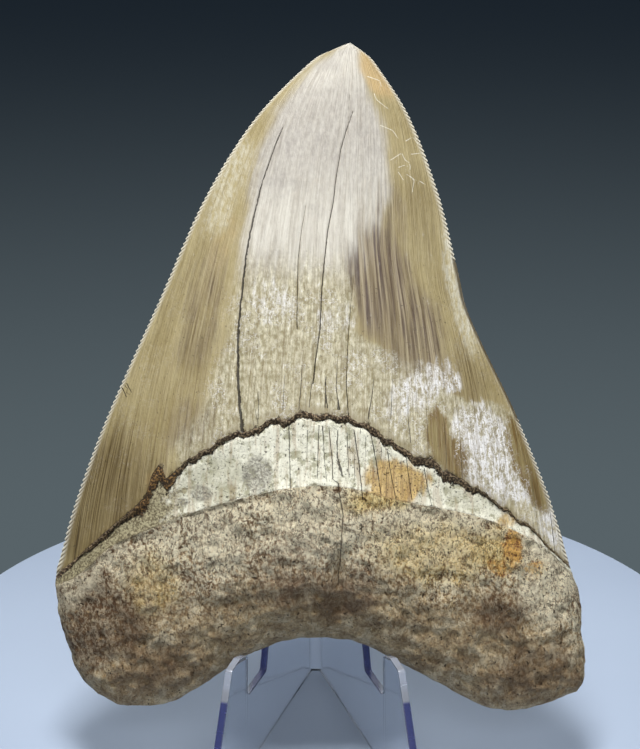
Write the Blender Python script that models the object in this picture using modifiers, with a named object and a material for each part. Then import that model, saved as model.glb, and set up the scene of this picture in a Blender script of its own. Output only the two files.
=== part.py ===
"""A fossil shark tooth held upright in a clear plastic easel.

The tooth is one grown piece: a serrated crown, a ragged enamel margin, a smooth band below it
and a two-lobed porous root. Its outline, margin and band are smooth curves through a few points,
and its two faces are lofted inside that outline. The easel is one sheet of clear plastic, cut
flat, bent at two upright lines into a V, and stood on its edges with the V's apex at the back.

World frame: metres, +X to the viewer's right, +Y away from the viewer, +Z up. Sizes below are in
millimetres. The tooth's own frame has x to the right, z up its axis and y towards its back.
"""

import math

import bmesh
import bpy
import numpy as np
from mathutils import Matrix, Vector, noise

MM = 0.001

# Tooth outline in its own plane, from the tip down each cutting edge, then down each root side
TIP = (6.6, 145.0)
LEFT_CORNER = (-57.9, 28.2)
RIGHT_CORNER = (54.6, 30.6)
LEFT_FOOT = (-48.5, 2.4)
RIGHT_FOOT = (56.0, 3.2)
LEFT_EDGE = [TIP, (2.0, 143.9), (-2.6, 141.2), (-14.6, 128.0), (-25.4, 110.7), (-35.2, 88.8),
             (-46.9, 62.6), (-54.1, 42.9), LEFT_CORNER]
RIGHT_EDGE = [TIP, (10.0, 143.8), (12.8, 141.2), (20.0, 128.0), (26.4, 110.7), (30.2, 95.0),
              (31.9, 87.5), (35.0, 80.1), (43.4, 62.6), (50.4, 45.1), RIGHT_CORNER]
LEFT_ROOT = [LEFT_CORNER, (-57.3, 21.6), (-55.2, 13.6), (-52.6, 6.6), LEFT_FOOT]
RIGHT_ROOT = [RIGHT_CORNER, (56.8, 24.0), (57.2, 16.0), (58.0, 9.5), (57.5, 5.6), RIGHT_FOOT]
ROOT_BOTTOM = [LEFT_FOOT, (-43.8, 0.3), (-37.2, 0.0), (-31.0, 1.4), (-24.7, 5.2), (-18.0, 9.8),
               (-10.0, 13.4), (-3.0, 14.8), (3.0, 14.8), (8.8, 13.6), (17.5, 9.4), (27.4, 4.2),
               (33.5, 0.8), (40.0, -1.0), (46.0, -0.5), (52.0, 1.4), RIGHT_FOOT]

# Lower edge of the enamel, with the broken steps along it, and the even arc that it follows
MARGIN = [LEFT_CORNER, (-44.2, 40.3), (-39.4, 44.2), (-37.2, 46.8), (-36.3, 51.0), (-34.1, 53.2),
          (-32.8, 50.5), (-24.9, 56.0), (-17.3, 60.4), (-3.7, 64.3), (4.6, 63.9), (11.2, 61.3),
          (16.6, 57.1), (24.3, 54.0), (27.8, 51.4), (33.5, 48.6), (38.5, 43.8), (44.6, 40.7),
          (49.7, 34.8), RIGHT_CORNER]
MARGIN_ARC = [LEFT_CORNER, (-44.0, 41.0), (-25.0, 55.5), (-4.0, 63.5), (12.0, 60.5),
              (33.0, 48.0), RIGHT_CORNER]
BAND_FOOT = [(-57.8, 26.4), (-52.6, 28.8), (-44.4, 35.7), (-32.6, 40.7), (-23.4, 44.2),
             (-7.7, 48.1), (4.4, 48.6), (17.1, 45.5), (33.5, 42.0), (46.2, 36.5), (55.2, 28.9)]
BACK_MARGIN = [LEFT_CORNER, (-44.0, 31.0), (-25.0, 39.0), (-2.0, 44.0), (22.0, 40.0),
               (42.0, 32.5), RIGHT_CORNER]
BACK_BAND_FOOT = [(-57.8, 26.4), (-44.0, 29.4), (-25.0, 37.4), (-2.0, 42.4), (22.0, 38.4),
                  (42.0, 30.9), (55.2, 28.9)]

# Depth of each face from the plane of the outline
FRONT_CROWN_DEPTH = 12.0
BACK_CROWN_DEPTH = 7.4
CROWN_TAPER = 0.72
LENS_POWER = 2.2
FRONT_ROOT_DEPTH = 9.0
FRONT_ROOT_SWELL = 6.4
BACK_ROOT_DEPTH = 8.2
BACK_ROOT_SWELL = 1.2
ROOT_SWELL_REACH = 24.0
ARCH_ROUNDNESS = 0.62
LOBE_ROUNDNESS = 0.54
ROOT_SIDE_POWER = 4
FOOT_POWER = 2.3
TURN_START = 0.86
TURN_END = 1.5
ENAMEL_LEDGE = 0.6
BACK_LEDGE = 0.3
LEDGE_START = 0.8
BAND_HOLLOW = 0.5
SURE_DEPTH = 4.0

# Cutting edge
SERRATIONS_PER_CELL = 4
NOTCH_DEPTH = 0.45
WORN_TOP = 96.0
WORN_FOOT = 64.0

# Root surface
ROOT_LUMP = 0.9
ROOT_LUMP_SIZE = 6.0
GROOVE_X = 4.4
GROOVE_TOP = 33.0
GROOVE_FOOT = 21.0
GROOVE_HALF_WIDTH = 1.7
GROOVE_DEPTH = 1.6

# Grid of each face
CROWN_CELLS = 28
COLUMNS = 40
EDGE_CROWDING = 0.55
BAND_ROWS = (0.06, 0.5, 1.0)
BAND_SIDE_SHARE = 0.06
ROOT_CELLS = 12

# How the tooth stands
LEAN = math.radians(19.5)
LOBE_HEIGHT = 15.2
PLANE_TO_SPINE = 44.8
TOOTH_OFFSET = 1.0

# Easel sheet: distance along a wing from the spine's corner, and height
SHEET = 1.6
HALF_SPREAD = math.radians(17.3)
SPINE_WIDTH = 3.2
BEND_RADIUS = 1.0
BEND_STEPS = 4
SPINE_HEIGHT = 84.0
WING_LENGTH = 71.3
LIP_FRONT = (56.3, 28.6)
LIP_PEAK = (51.0, 28.9)
LIP_REAR = (46.4, 27.2)
SEAT_FRONT = (46.7, 17.6)
SEAT_REAR = (34.2, 17.3)
BACKREST_FOOT = (32.8, 21.9)
BACKREST_TOP = (15.4, 78.0)
CORNER_RADIUS = 1.2
SOFT_CORNER_RADIUS = 3.0
SHOULDER_RADIUS = 8.0


def smooth_curve(points, shares):
    """Points of a smooth curve through the given ones, at these shares of its length."""
    knots = np.array(points, dtype=float)
    padded = np.vstack([2 * knots[0] - knots[1], knots, 2 * knots[-1] - knots[-2]])
    spans = len(knots) - 1
    place = np.linspace(0, spans, 40 * spans + 1)
    span = np.minimum(place.astype(int), spans - 1)
    u = (place - span)[:, None]
    a, b, c, d = (padded[span + k] for k in range(4))
    dense = 0.5 * (2 * b + (c - a) * u + (2 * a - 5 * b + 4 * c - d) * u ** 2
                   + (3 * b - a - 3 * c + d) * u ** 3)
    length = np.concatenate([[0], np.cumsum(np.hypot(*np.diff(dense, axis=0).T))])
    target = np.asarray(shares) * length[-1]
    return np.column_stack([np.interp(target, length, dense[:, axis]) for axis in range(2)])


def line_across(points, across):
    """A line that runs from left to right, read at shares of its width."""
    curve = np.array(points, dtype=float)
    x = curve[0, 0] + (curve[-1, 0] - curve[0, 0]) * across
    return np.column_stack([x, np.interp(x, curve[:, 0], curve[:, 1])])


def arc_across(points, across):
    """A smooth curve that runs from left to right, read at shares of its width."""
    return line_across(smooth_curve(points, np.linspace(0, 1, 400)), across)


def patch(top, foot, left, right, across, down):
    """Grid that fills the space between four edges, each row a blend of top and foot."""
    s = across[None, :, None]
    v = down[:, None, None]
    sides = (1 - s) * left[:, None] + s * right[:, None]
    ends = (1 - v) * top[None] + v * foot[None]
    corners = ((1 - s) * (1 - v) * top[0] + s * (1 - v) * top[-1]
               + (1 - s) * v * foot[0] + s * v * foot[-1])
    return sides + ends - corners


def smooth_step(value, low, high):
    """0 below low, 1 above high, and an even S between."""
    t = np.clip((value - low) / (high - low), 0, 1)
    return t * t * (3 - 2 * t)


def serrated(edge, wear):
    """An edge whose every other point is drawn inwards, with less of a notch where it is worn."""
    ahead = np.gradient(edge, axis=0)
    normal = np.column_stack([-ahead[:, 1], ahead[:, 0]])
    normal /= np.linalg.norm(normal, axis=1)[:, None]
    inward = normal * np.sign(-normal[len(edge) // 2, 0] * edge[len(edge) // 2, 0])
    notch = NOTCH_DEPTH * (np.arange(len(edge)) % 2) * wear
    return edge + inward * notch[:, None]


def crown_edges():
    """Both cutting edges, with a point on and between the serrations."""
    steps = CROWN_CELLS * SERRATIONS_PER_CELL * 2
    shares = np.linspace(0, 1, steps + 1)
    left = smooth_curve(LEFT_EDGE, shares)
    right = smooth_curve(RIGHT_EDGE, shares)
    left_wear = 1 - smooth_step(shares, 0.93, 0.98)
    height = right[:, 1]
    blunt = smooth_step(height, WORN_FOOT - 4, WORN_FOOT) * (1 - smooth_step(height, WORN_TOP, WORN_TOP + 4))
    right_wear = (1 - 0.8 * blunt) * (1 - smooth_step(shares, 0.9, 0.95))
    return serrated(left, left_wear), serrated(right, right_wear)


def face_plan(margin, band_foot, across):
    """Rows of one face in the outline's plane, from below the tip to the foot of the root."""
    cell = np.arange(CROWN_CELLS + 1) / CROWN_CELLS
    arc = arc_across(MARGIN_ARC, across)
    left = smooth_curve(LEFT_EDGE, cell)
    right = smooth_curve(RIGHT_EDGE, cell)
    tip = np.repeat(np.array([TIP]), len(across), axis=0)
    crown = patch(tip, arc, left, right, across, cell)
    broken = line_across(margin, across)
    crown += (cell ** 7)[:, None, None] * (broken - arc)[None]

    band_shares = np.array(BAND_ROWS)
    side_shares = band_shares * BAND_SIDE_SHARE
    foot = arc_across(band_foot, across)
    band = patch(broken, foot, smooth_curve(LEFT_ROOT, side_shares),
                 smooth_curve(RIGHT_ROOT, side_shares), across, band_shares)

    down = np.sin(np.linspace(0, math.pi / 2, ROOT_CELLS + 1))
    down = 0.5 * down + 0.5 * np.linspace(0, 1, ROOT_CELLS + 1)
    shares = BAND_SIDE_SHARE + (1 - BAND_SIDE_SHARE) * down
    bottom = arc_across(ROOT_BOTTOM, across)
    root = patch(band[-1], bottom, smooth_curve(LEFT_ROOT, shares),
                 smooth_curve(RIGHT_ROOT, shares), across, down)
    return np.concatenate([crown[1:], band, root[1:]]), cell[1:], down[1:]


def face_depth(plan, crown_share, root_share, across, crown_depth, root_depth, root_swell):
    """How far one face stands out from the outline's plane, at each point of its plan.

    The crown is a lens that thins towards the tip and meets the outline at a sharp edge. The root
    is swollen in the middle, has round sides, and thins towards its arch.
    """
    rows = len(plan)
    below = rows - len(crown_share)
    crown_v = np.concatenate([crown_share, np.ones(below)])
    root_v = np.concatenate([np.zeros(rows - len(root_share)), root_share])
    sigma = np.abs(2 * across - 1)[None, :]
    x = plan[..., 0]
    lens = crown_depth * crown_v[:, None] ** CROWN_TAPER * (1 - sigma ** LENS_POWER)
    swell = np.exp(-(x / ROOT_SWELL_REACH) ** 2)
    block = (root_depth + root_swell * swell) * np.sqrt(1 - sigma ** ROOT_SIDE_POWER)
    place = np.concatenate([crown_share, 1 + np.arange(1, below + 1) / below])
    turn = smooth_step(place, TURN_START, TURN_END)[:, None]
    roundness = LOBE_ROUNDNESS + (ARCH_ROUNDNESS - LOBE_ROUNDNESS) * swell
    foot = (1 - root_v[:, None] ** FOOT_POWER).clip(0) ** roundness
    return (lens + (block - lens) * turn) * foot


def lumps(plan, seed):
    """Low lumps and hollows of the root's bone, from smooth noise."""
    flat = plan.reshape(-1, 2) / ROOT_LUMP_SIZE
    values = [noise.noise(Vector((x, z, seed))) + 0.5 * noise.noise(Vector((2.3 * x, 2.3 * z, seed + 5)))
              for x, z in flat]
    return np.array(values).reshape(plan.shape[:2])


def raise_enamel(depth, ledge):
    """Thicken the crown towards its foot, so that it ends in a ledge above what is below it."""
    crown_share = np.arange(1, CROWN_CELLS + 1) / CROWN_CELLS
    fade = np.minimum(1, depth[:CROWN_CELLS] / SURE_DEPTH)
    depth[:CROWN_CELLS] += ledge * smooth_step(crown_share, LEDGE_START, 1)[:, None] * fade


def shape_front(plan, depth):
    """Front face: the enamel stands above the band, the band is hollow, and the root is grooved."""
    fade = np.minimum(1, depth / SURE_DEPTH)
    raise_enamel(depth, ENAMEL_LEDGE)
    middle = CROWN_CELLS + len(BAND_ROWS) // 2
    depth[middle] -= BAND_HOLLOW * fade[middle]
    bone = slice(CROWN_CELLS + len(BAND_ROWS), None)
    x, z = plan[bone, :, 0], plan[bone, :, 1]
    along = smooth_step(z, GROOVE_FOOT - 3, GROOVE_FOOT + 2) * smooth_step(-z, -GROOVE_TOP - 5, -GROOVE_TOP)
    groove = GROOVE_DEPTH * np.exp(-((x - GROOVE_X) / GROOVE_HALF_WIDTH) ** 2) * along
    depth[bone] += (ROOT_LUMP * lumps(plan[bone], 1.0) - groove) * fade[bone]
    return depth


def shape_back(plan, depth):
    """Back face: the enamel ends in a low ledge, and the root is lumpy."""
    fade = np.minimum(1, depth / SURE_DEPTH)
    raise_enamel(depth, BACK_LEDGE)
    bone = slice(CROWN_CELLS + len(BAND_ROWS), None)
    depth[bone] += ROOT_LUMP * lumps(plan[bone], 9.0) * fade[bone]
    return depth


def crown_faces(ids, tip, chains):
    """Faces of one side of the crown, with its coarse grid fanned out to the serrated edges."""
    fine = SERRATIONS_PER_CELL * 2
    faces = []
    for row in range(CROWN_CELLS):
        upper, lower = ids[max(row - 1, 0)], ids[row]
        for column in range(1, COLUMNS - 1):
            foot = (lower[column + 1], lower[column])
            faces.append((upper[column], upper[column + 1], *foot) if row else (tip, *foot))
        for chain, inner in zip(chains, (1, COLUMNS - 1)):
            run = chain[row * fine:(row + 1) * fine + 1]
            turn = fine // 2 if row else 0
            faces += [(run[k], run[k + 1], upper[inner]) for k in range(turn)]
            faces += [(run[k], run[k + 1], lower[inner]) for k in range(turn, fine)]
            if row:
                faces.append((run[turn], upper[inner], lower[inner]))
    return faces


def root_faces(ids):
    """Faces of one side of the tooth below the enamel."""
    return [(ids[row - 1, column], ids[row - 1, column + 1], ids[row, column + 1], ids[row, column])
            for row in range(CROWN_CELLS, len(ids)) for column in range(COLUMNS)]


def tooth_mesh():
    """Closed mesh of the tooth in its own frame: outline, front face and back face."""
    steps = np.linspace(0, 1, COLUMNS + 1)
    across = steps - EDGE_CROWDING * np.sin(2 * math.pi * steps) / (2 * math.pi)
    left, right = crown_edges()
    front_plan, crown_share, root_share = face_plan(MARGIN, BAND_FOOT, across)
    back_plan, _, _ = face_plan(BACK_MARGIN, BACK_BAND_FOOT, across)
    front = shape_front(front_plan, face_depth(front_plan, crown_share, root_share, across,
                                               FRONT_CROWN_DEPTH, FRONT_ROOT_DEPTH, FRONT_ROOT_SWELL))
    back = shape_back(back_plan, face_depth(back_plan, crown_share, root_share, across,
                                            BACK_CROWN_DEPTH, BACK_ROOT_DEPTH, BACK_ROOT_SWELL))
    points = []

    def add(x, y, z):
        points.append((x, y, z))
        return len(points) - 1

    tip = add(TIP[0], 0.0, TIP[1])
    chains = [[tip] + [add(x, 0.0, z) for x, z in edge[1:]] for edge in (left, right)]
    front_ids = np.zeros(front.shape, dtype=int)
    back_ids = np.zeros(front.shape, dtype=int)
    for row, column in np.ndindex(front.shape):
        x, z = front_plan[row, column]
        at_side = column in (0, COLUMNS)
        if at_side and row < CROWN_CELLS:
            shared = chains[column // COLUMNS][(row + 1) * SERRATIONS_PER_CELL * 2]
            front_ids[row, column] = back_ids[row, column] = shared
        elif at_side or row == len(front) - 1:
            front_ids[row, column] = back_ids[row, column] = add(x, 0.0, z)
        else:
            front_ids[row, column] = add(x, -front[row, column], z)
            x, z = back_plan[row, column]
            back_ids[row, column] = add(x, back[row, column], z)

    faces = []
    for ids in (front_ids, back_ids):
        faces += crown_faces(ids, tip, chains) + root_faces(ids)
    mesh = bpy.data.meshes.new("tooth")
    mesh.from_pydata([Vector(point) * MM for point in points], [],
                     [tuple(int(corner) for corner in face) for face in faces])
    work = bmesh.new()
    work.from_mesh(mesh)
    bmesh.ops.triangulate(work, faces=work.faces[:])
    bmesh.ops.recalc_face_normals(work, faces=work.faces[:])
    work.to_mesh(mesh)
    work.free()
    mesh.shade_smooth()
    mesh.set_sharp_from_angle(angle=math.radians(45))
    return mesh


def round_corner(before, corner, after, radius, steps=4):
    """Points that round one corner of an outline off to this radius."""
    corner, before, after = (np.array(p, dtype=float) for p in (corner, before, after))
    back = (before - corner) / np.linalg.norm(before - corner)
    ahead = (after - corner) / np.linalg.norm(after - corner)
    half = math.acos(float(np.clip(back @ ahead, -1, 1))) / 2
    centre = corner + (back + ahead) / np.linalg.norm(back + ahead) * radius / math.sin(half)
    start = corner + back * radius / math.tan(half) - centre
    end = corner + ahead * radius / math.tan(half) - centre
    sweep = math.atan2(start[0] * end[1] - start[1] * end[0], start @ end)
    angles = np.linspace(0, sweep, steps + 1)
    return [tuple(centre + (start[0] * math.cos(a) - start[1] * math.sin(a),
                            start[0] * math.sin(a) + start[1] * math.cos(a))) for a in angles]


def wing_outline():
    """Outline of one wing from the spine's top to the toe, as distance along the wing and height."""
    top = (0.0, SPINE_HEIGHT)
    toe = (WING_LENGTH, 0.0)
    slope = (BACKREST_TOP[0] - BACKREST_FOOT[0]) / (BACKREST_TOP[1] - BACKREST_FOOT[1])
    shoulder = (BACKREST_FOOT[0] + slope * (SPINE_HEIGHT - BACKREST_FOOT[1]), SPINE_HEIGHT)
    corners = [(top, 0), (shoulder, SHOULDER_RADIUS), (BACKREST_FOOT, SOFT_CORNER_RADIUS),
               (SEAT_REAR, CORNER_RADIUS), (SEAT_FRONT, CORNER_RADIUS), (LIP_REAR, CORNER_RADIUS),
               (LIP_PEAK, SOFT_CORNER_RADIUS), (LIP_FRONT, CORNER_RADIUS), (toe, 0)]
    outline = []
    for index, (corner, radius) in enumerate(corners):
        if radius:
            outline += round_corner(corners[index - 1][0], corner, corners[index + 1][0], radius)
        else:
            outline.append(corner)
    return outline


def bend_sizes():
    """Turn of each bend, its arc length, its tangent length and the flat half width between."""
    turn = math.pi / 2 - HALF_SPREAD
    tangent = BEND_RADIUS * math.tan(turn / 2)
    return turn, BEND_RADIUS * turn, tangent, SPINE_WIDTH / 2 - tangent


def fold(position):
    """Where a point of the flat sheet goes when the sheet is bent at its two upright lines.

    The sheet runs along X from wing to wing. Each bend turns a wing forwards on an arc.
    """
    turn, arc, _, flat = bend_sizes()
    side = math.copysign(1, position.x)
    run = abs(position.x)
    angle = min(1, max(0, run - flat) / arc) * turn
    past = max(0, run - flat - arc)
    x = min(run, flat) + BEND_RADIUS * math.sin(angle) + past * math.cos(turn)
    y = BEND_RADIUS * (1 - math.cos(angle)) + past * math.sin(turn)
    return Vector((side * x, -y, position.z))


def easel_object():
    """The easel: a flat outline of both wings, folded, then given the sheet's thickness."""
    _, arc, tangent, flat = bend_sizes()
    corner = flat + arc - tangent
    wing = [(corner + along, height) for along, height in wing_outline()]
    wing[0] = (0.0, wing[0][1])
    mirrored = [(-x, z) for x, z in reversed(wing[1:])]
    work = bmesh.new()
    corners = [work.verts.new((x, 0, z)) for x, z in wing + mirrored]
    work.faces.new(corners)
    cuts = [side * (flat + arc * k / BEND_STEPS) for side in (-1, 1) for k in range(BEND_STEPS + 1)]
    for cut in cuts:
        geometry = work.verts[:] + work.edges[:] + work.faces[:]
        bmesh.ops.bisect_plane(work, geom=geometry, dist=1e-5, plane_co=(cut, 0, 0), plane_no=(1, 0, 0))
    for vertex in work.verts:
        vertex.co = fold(vertex.co) * MM
    bmesh.ops.recalc_face_normals(work, faces=work.faces[:])
    mesh = bpy.data.meshes.new("stand")
    work.to_mesh(mesh)
    work.free()
    stand = bpy.data.objects.new("stand", mesh)
    thickness = stand.modifiers.new("sheet thickness", "SOLIDIFY")
    thickness.thickness = SHEET * MM
    thickness.offset = 0
    thickness.use_even_offset = True
    return stand


def finish(name, colour, roughness, transmission=0.0):
    """A material with this colour, roughness and clearness."""
    material = bpy.data.materials.new(name)
    material.use_nodes = True
    shader = material.node_tree.nodes["Principled BSDF"]
    shader.inputs["Base Color"].default_value = (*colour, 1)
    shader.inputs["Roughness"].default_value = roughness
    shader.inputs["Metallic"].default_value = 0
    shader.inputs["Transmission Weight"].default_value = transmission
    shader.inputs["IOR"].default_value = 1.49
    return material


def box_of(parts):
    """Lowest and highest corner of the evaluated parts."""
    graph = bpy.context.evaluated_depsgraph_get()
    corners = []
    for part in parts:
        evaluated = part.evaluated_get(graph)
        corners += [evaluated.matrix_world @ vertex.co for vertex in evaluated.data.vertices]
    spread = np.array(corners)
    return spread.min(axis=0), spread.max(axis=0)


def main():
    for item in list(bpy.data.objects):
        bpy.data.objects.remove(item)
    group = bpy.data.collections.new("megalodon tooth on stand")
    bpy.context.scene.collection.children.link(group)

    tooth = bpy.data.objects.new("tooth", tooth_mesh())
    tooth.data.materials.append(finish("fossil tooth", (0.55, 0.48, 0.36), 0.4))
    stand = easel_object()
    stand.data.materials.append(finish("clear plastic", (0.86, 0.9, 0.95), 0.05, 1.0))
    for part in (tooth, stand):
        group.objects.link(part)

    tooth_place = Vector((TOOTH_OFFSET, -PLANE_TO_SPINE, LOBE_HEIGHT)) * MM
    tooth.matrix_world = Matrix.Translation(tooth_place) @ Matrix.Rotation(-LEAN, 4, "X")
    bpy.context.view_layer.update()

    low, high = box_of((tooth, stand))
    shift = Vector((-(low[0] + high[0]) / 2, -(low[1] + high[1]) / 2, -low[2]))
    for part in (tooth, stand):
        part.location += shift
    bpy.context.view_layer.update()


main()
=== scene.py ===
"""Looks of a fossil shark tooth that leans in a clear bent-plastic easel.

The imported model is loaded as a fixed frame. One finely shaped tooth stands for the tooth solid and
one folded, bevelled sheet stands for the easel solid. Tooth sizes are in millimetres in the tooth's
own frame, with x to the right, z up its axis and y towards its back, until they are placed.
"""

import logging
import math
from collections.abc import Callable
from dataclasses import dataclass, field
from enum import Enum
from functools import cached_property

import bpy
import numpy as np
from mathutils import Matrix, Vector


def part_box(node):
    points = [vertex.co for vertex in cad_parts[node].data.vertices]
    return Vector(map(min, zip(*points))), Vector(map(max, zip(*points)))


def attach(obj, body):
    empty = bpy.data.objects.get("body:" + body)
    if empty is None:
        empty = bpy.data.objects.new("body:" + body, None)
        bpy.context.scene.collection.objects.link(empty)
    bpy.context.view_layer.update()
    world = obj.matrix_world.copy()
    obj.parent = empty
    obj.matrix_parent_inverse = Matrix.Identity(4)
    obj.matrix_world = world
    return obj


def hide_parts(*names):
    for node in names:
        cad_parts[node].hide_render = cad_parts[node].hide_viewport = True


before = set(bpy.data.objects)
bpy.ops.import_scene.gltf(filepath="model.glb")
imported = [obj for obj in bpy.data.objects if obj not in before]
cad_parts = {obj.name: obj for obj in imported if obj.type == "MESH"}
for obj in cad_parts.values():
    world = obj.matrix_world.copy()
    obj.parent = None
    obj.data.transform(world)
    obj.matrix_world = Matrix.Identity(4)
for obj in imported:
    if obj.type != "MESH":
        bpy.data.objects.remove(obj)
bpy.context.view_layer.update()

MM = 0.001
FAR = 60.0  # longest way to a stroke, in the stroke's half widths
log = logging.getLogger("tooth on easel")

Point = tuple[float, float]
Triple = tuple[float, float, float]
Curve = tuple[Point, ...]
Colour = tuple[int, int, int]
Array = np.ndarray
Material = bpy.types.Material
Object = bpy.types.Object


def linear(colour: Colour) -> tuple[float, float, float, float]:
    """The light values of a screen colour.

    Args:
        colour: red, green and blue from 0 to 255 as a screen shows them.

    Returns:
        Red, green, blue and full cover, in linear light.
    """
    share = np.array(colour) / 255.0
    light = np.where(share <= 0.04045, share / 12.92, ((share + 0.055) / 1.055) ** 2.4)
    return (*(float(value) for value in light), 1.0)


def smooth_step(value: Array, low: float, high: float) -> Array:
    """0 below low, 1 above high, and t * t * (3 - 2 t) between."""
    t = np.clip((value - low) / (high - low), 0, 1)
    return t * t * (3 - 2 * t)


def smooth_curve(points: Curve, shares: Array) -> Array:
    """Points of an even cubic through the given ones.

    Args:
        points: the points that the curve passes through.
        shares: shares of its length, in any shape.

    Returns:
        The points at those shares, with a last axis of two.
    """
    knots = np.array(points, dtype=float)
    padded = np.vstack([2 * knots[0] - knots[1], knots, 2 * knots[-1] - knots[-2]])
    spans = len(knots) - 1
    place = np.linspace(0, spans, 60 * spans + 1)
    span = np.minimum(place.astype(int), spans - 1)
    u = (place - span)[:, None]
    a, b, c, d = (padded[span + k] for k in range(4))
    dense = 0.5 * (2 * b + (c - a) * u + (2 * a - 5 * b + 4 * c - d) * u ** 2
                   + (3 * b - a - 3 * c + d) * u ** 3)
    length = np.concatenate([[0], np.cumsum(np.hypot(*np.diff(dense, axis=0).T))])
    target = np.asarray(shares) * length[-1]
    return joined(*(np.interp(target, length, dense[:, axis]) for axis in range(2)))


def across_curve(points: Curve, shares: Array, smooth: bool = True) -> Array:
    """A line that runs from left to right, read at shares of its width.

    Args:
        points: its points.
        shares: shares of the way from its left end to its right end, in any shape.
        smooth: True for a curve through the points, False for straight runs between them.

    Returns:
        The points at those shares, with a last axis of two.
    """
    curve = smooth_curve(points, np.linspace(0, 1, 600)) if smooth else np.array(points, float)
    x = curve[0, 0] + (curve[-1, 0] - curve[0, 0]) * shares
    return joined(x, np.interp(x, curve[:, 0], curve[:, 1]))


def joined(*parts: Array) -> Array:
    """Arrays side by side on a new last axis."""
    return np.stack(parts, axis=-1)


def new_object(name: str, points: Array, faces: list[list[int]],
               *finishes: Material) -> Object:
    """A mesh object at the origin with these materials, put into the scene.

    Args:
        name: name of the object and of its mesh.
        points: places of the points, in metres.
        faces: point numbers of each face.
        finishes: its materials, in the order of the slots.

    Returns:
        The object.
    """
    mesh = bpy.data.meshes.new(name)
    mesh.from_pydata(points, [], faces)
    for finish in finishes:
        mesh.materials.append(finish)
    mesh.shade_smooth()
    made = bpy.data.objects.new(name, mesh)
    bpy.context.scene.collection.objects.link(made)
    return made


class Unevenness:
    """Smooth noise on a lattice: random slopes at its corners, with their heights blended."""

    def __init__(self, seed: int) -> None:
        """Draws the lattice's order and slopes.

        Args:
            seed: seed of the draws.
        """
        draw = np.random.default_rng(seed)
        self.order = draw.permutation(256)
        slopes = draw.normal(size=(256, 3))
        self.slopes = slopes / np.linalg.norm(slopes, axis=1)[:, None]

    def at(self, x: Array, y: Array, z: Array | float = 0.0) -> Array:
        """Height of the noise.

        Args:
            x: first place, one lattice cell to a unit.
            y: second place.
            z: third place.

        Returns:
            Heights of about -0.7 to 0.7 in the shape of x.
        """
        place = joined(*np.broadcast_arrays(x, y, z)).astype(float)
        cell = np.floor(place).astype(int)
        part = place - cell
        ease = part ** 3 * (part * (part * 6 - 15) + 10)
        total = np.zeros(place.shape[:-1])
        for corner in np.ndindex(2, 2, 2):
            step = np.array(corner)
            index = cell + step
            key = self.order[index[..., 0] & 255]
            key = self.order[(key + index[..., 1]) & 255]
            key = self.order[(key + index[..., 2]) & 255]
            height = ((part - step) * self.slopes[key]).sum(axis=-1)
            total += height * np.where(step, ease, 1 - ease).prod(axis=-1)
        return total

    def layered(self, x: Array, y: Array, layers: int) -> Array:
        """Sum of layers, each twice as fine and half as high as the one before."""
        return sum(0.5 ** k * self.at(x * 2 ** k, y * 2 ** k, 7.3 * k) for k in range(layers))


@dataclass(frozen=True)
class Blob:
    """A soft-edged oval on the tooth's plane.

    Attributes:
        centre: its middle.
        half: half its width and half its height.
        turn: degrees that its upper end leans to the left.
        strength: how much of the tone it brings.
    """

    centre: Point
    half: Point
    turn: float = 0.0
    strength: float = 1.0

    def cover(self, x: Array, z: Array) -> Array:
        """Its strength inside, falling to 0 about a quarter of its size outside.

        Args:
            x: first place of the points.
            z: second place of the points.

        Returns:
            Cover of each point.
        """
        angle = math.radians(self.turn)
        dx, dz = x - self.centre[0], z - self.centre[1]
        u = (dx * math.cos(angle) + dz * math.sin(angle)) / self.half[0]
        w = (dz * math.cos(angle) - dx * math.sin(angle)) / self.half[1]
        return self.strength * (1 - smooth_step(np.hypot(u, w), 0.45, 1.25))


Blobs = tuple[Blob, ...]


def ovals(*rows: tuple[float, ...]) -> Blobs:
    """Blobs from rows of x, z, half width and half height, then turn and strength where given."""
    return tuple(Blob((x, z), (width, height), *rest) for x, z, width, height, *rest in rows)


def covered(blobs: Blobs, x: Array, z: Array) -> Array:
    """The strongest cover of several blobs."""
    return np.max([blob.cover(x, z) for blob in blobs], axis=0)


@dataclass(frozen=True)
class Stroke:
    """A thin line on the tooth's plane.

    Attributes:
        points: the points that it runs through.
        start: half its width at its first point.
        end: half its width at its last point.
    """

    points: Curve
    start: float
    end: float


def towards_strokes(strokes: tuple[Stroke, ...], x: Array, z: Array) -> Array:
    """Way from each point to the nearest stroke, counted in the stroke's half widths.

    The way keeps its sign across the stroke, so it passes evenly through zero there. Its length
    comes third, which tells a stroke from the middle between two strokes. FAR is its upper limit.

    Args:
        strokes: the strokes.
        x: first place of the points.
        z: second place of the points.

    Returns:
        Way across, way up and length, with a last axis of three.
    """
    way = np.full((*x.shape, 3), FAR)
    for stroke in strokes:
        knots = np.array(stroke.points)
        widths = np.linspace(stroke.start, stroke.end, len(knots))
        for a, b, wide, narrow in zip(knots[:-1], knots[1:], widths[:-1], widths[1:]):
            run = b - a
            t = np.clip(((x - a[0]) * run[0] + (z - a[1]) * run[1]) / (run @ run), 0, 1)
            half = wide + (narrow - wide) * t
            dx, dz = (a[0] + run[0] * t - x) / half, (a[1] + run[1] * t - z) / half
            length = np.hypot(dx, dz)
            nearer = length < way[..., 2]
            way[nearer] = joined(dx, dz, length)[nearer]
    return way


class Side(Enum):
    """The two faces of the tooth, and the way along y that each one stands out."""

    FRONT = -1
    BACK = 1


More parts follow.
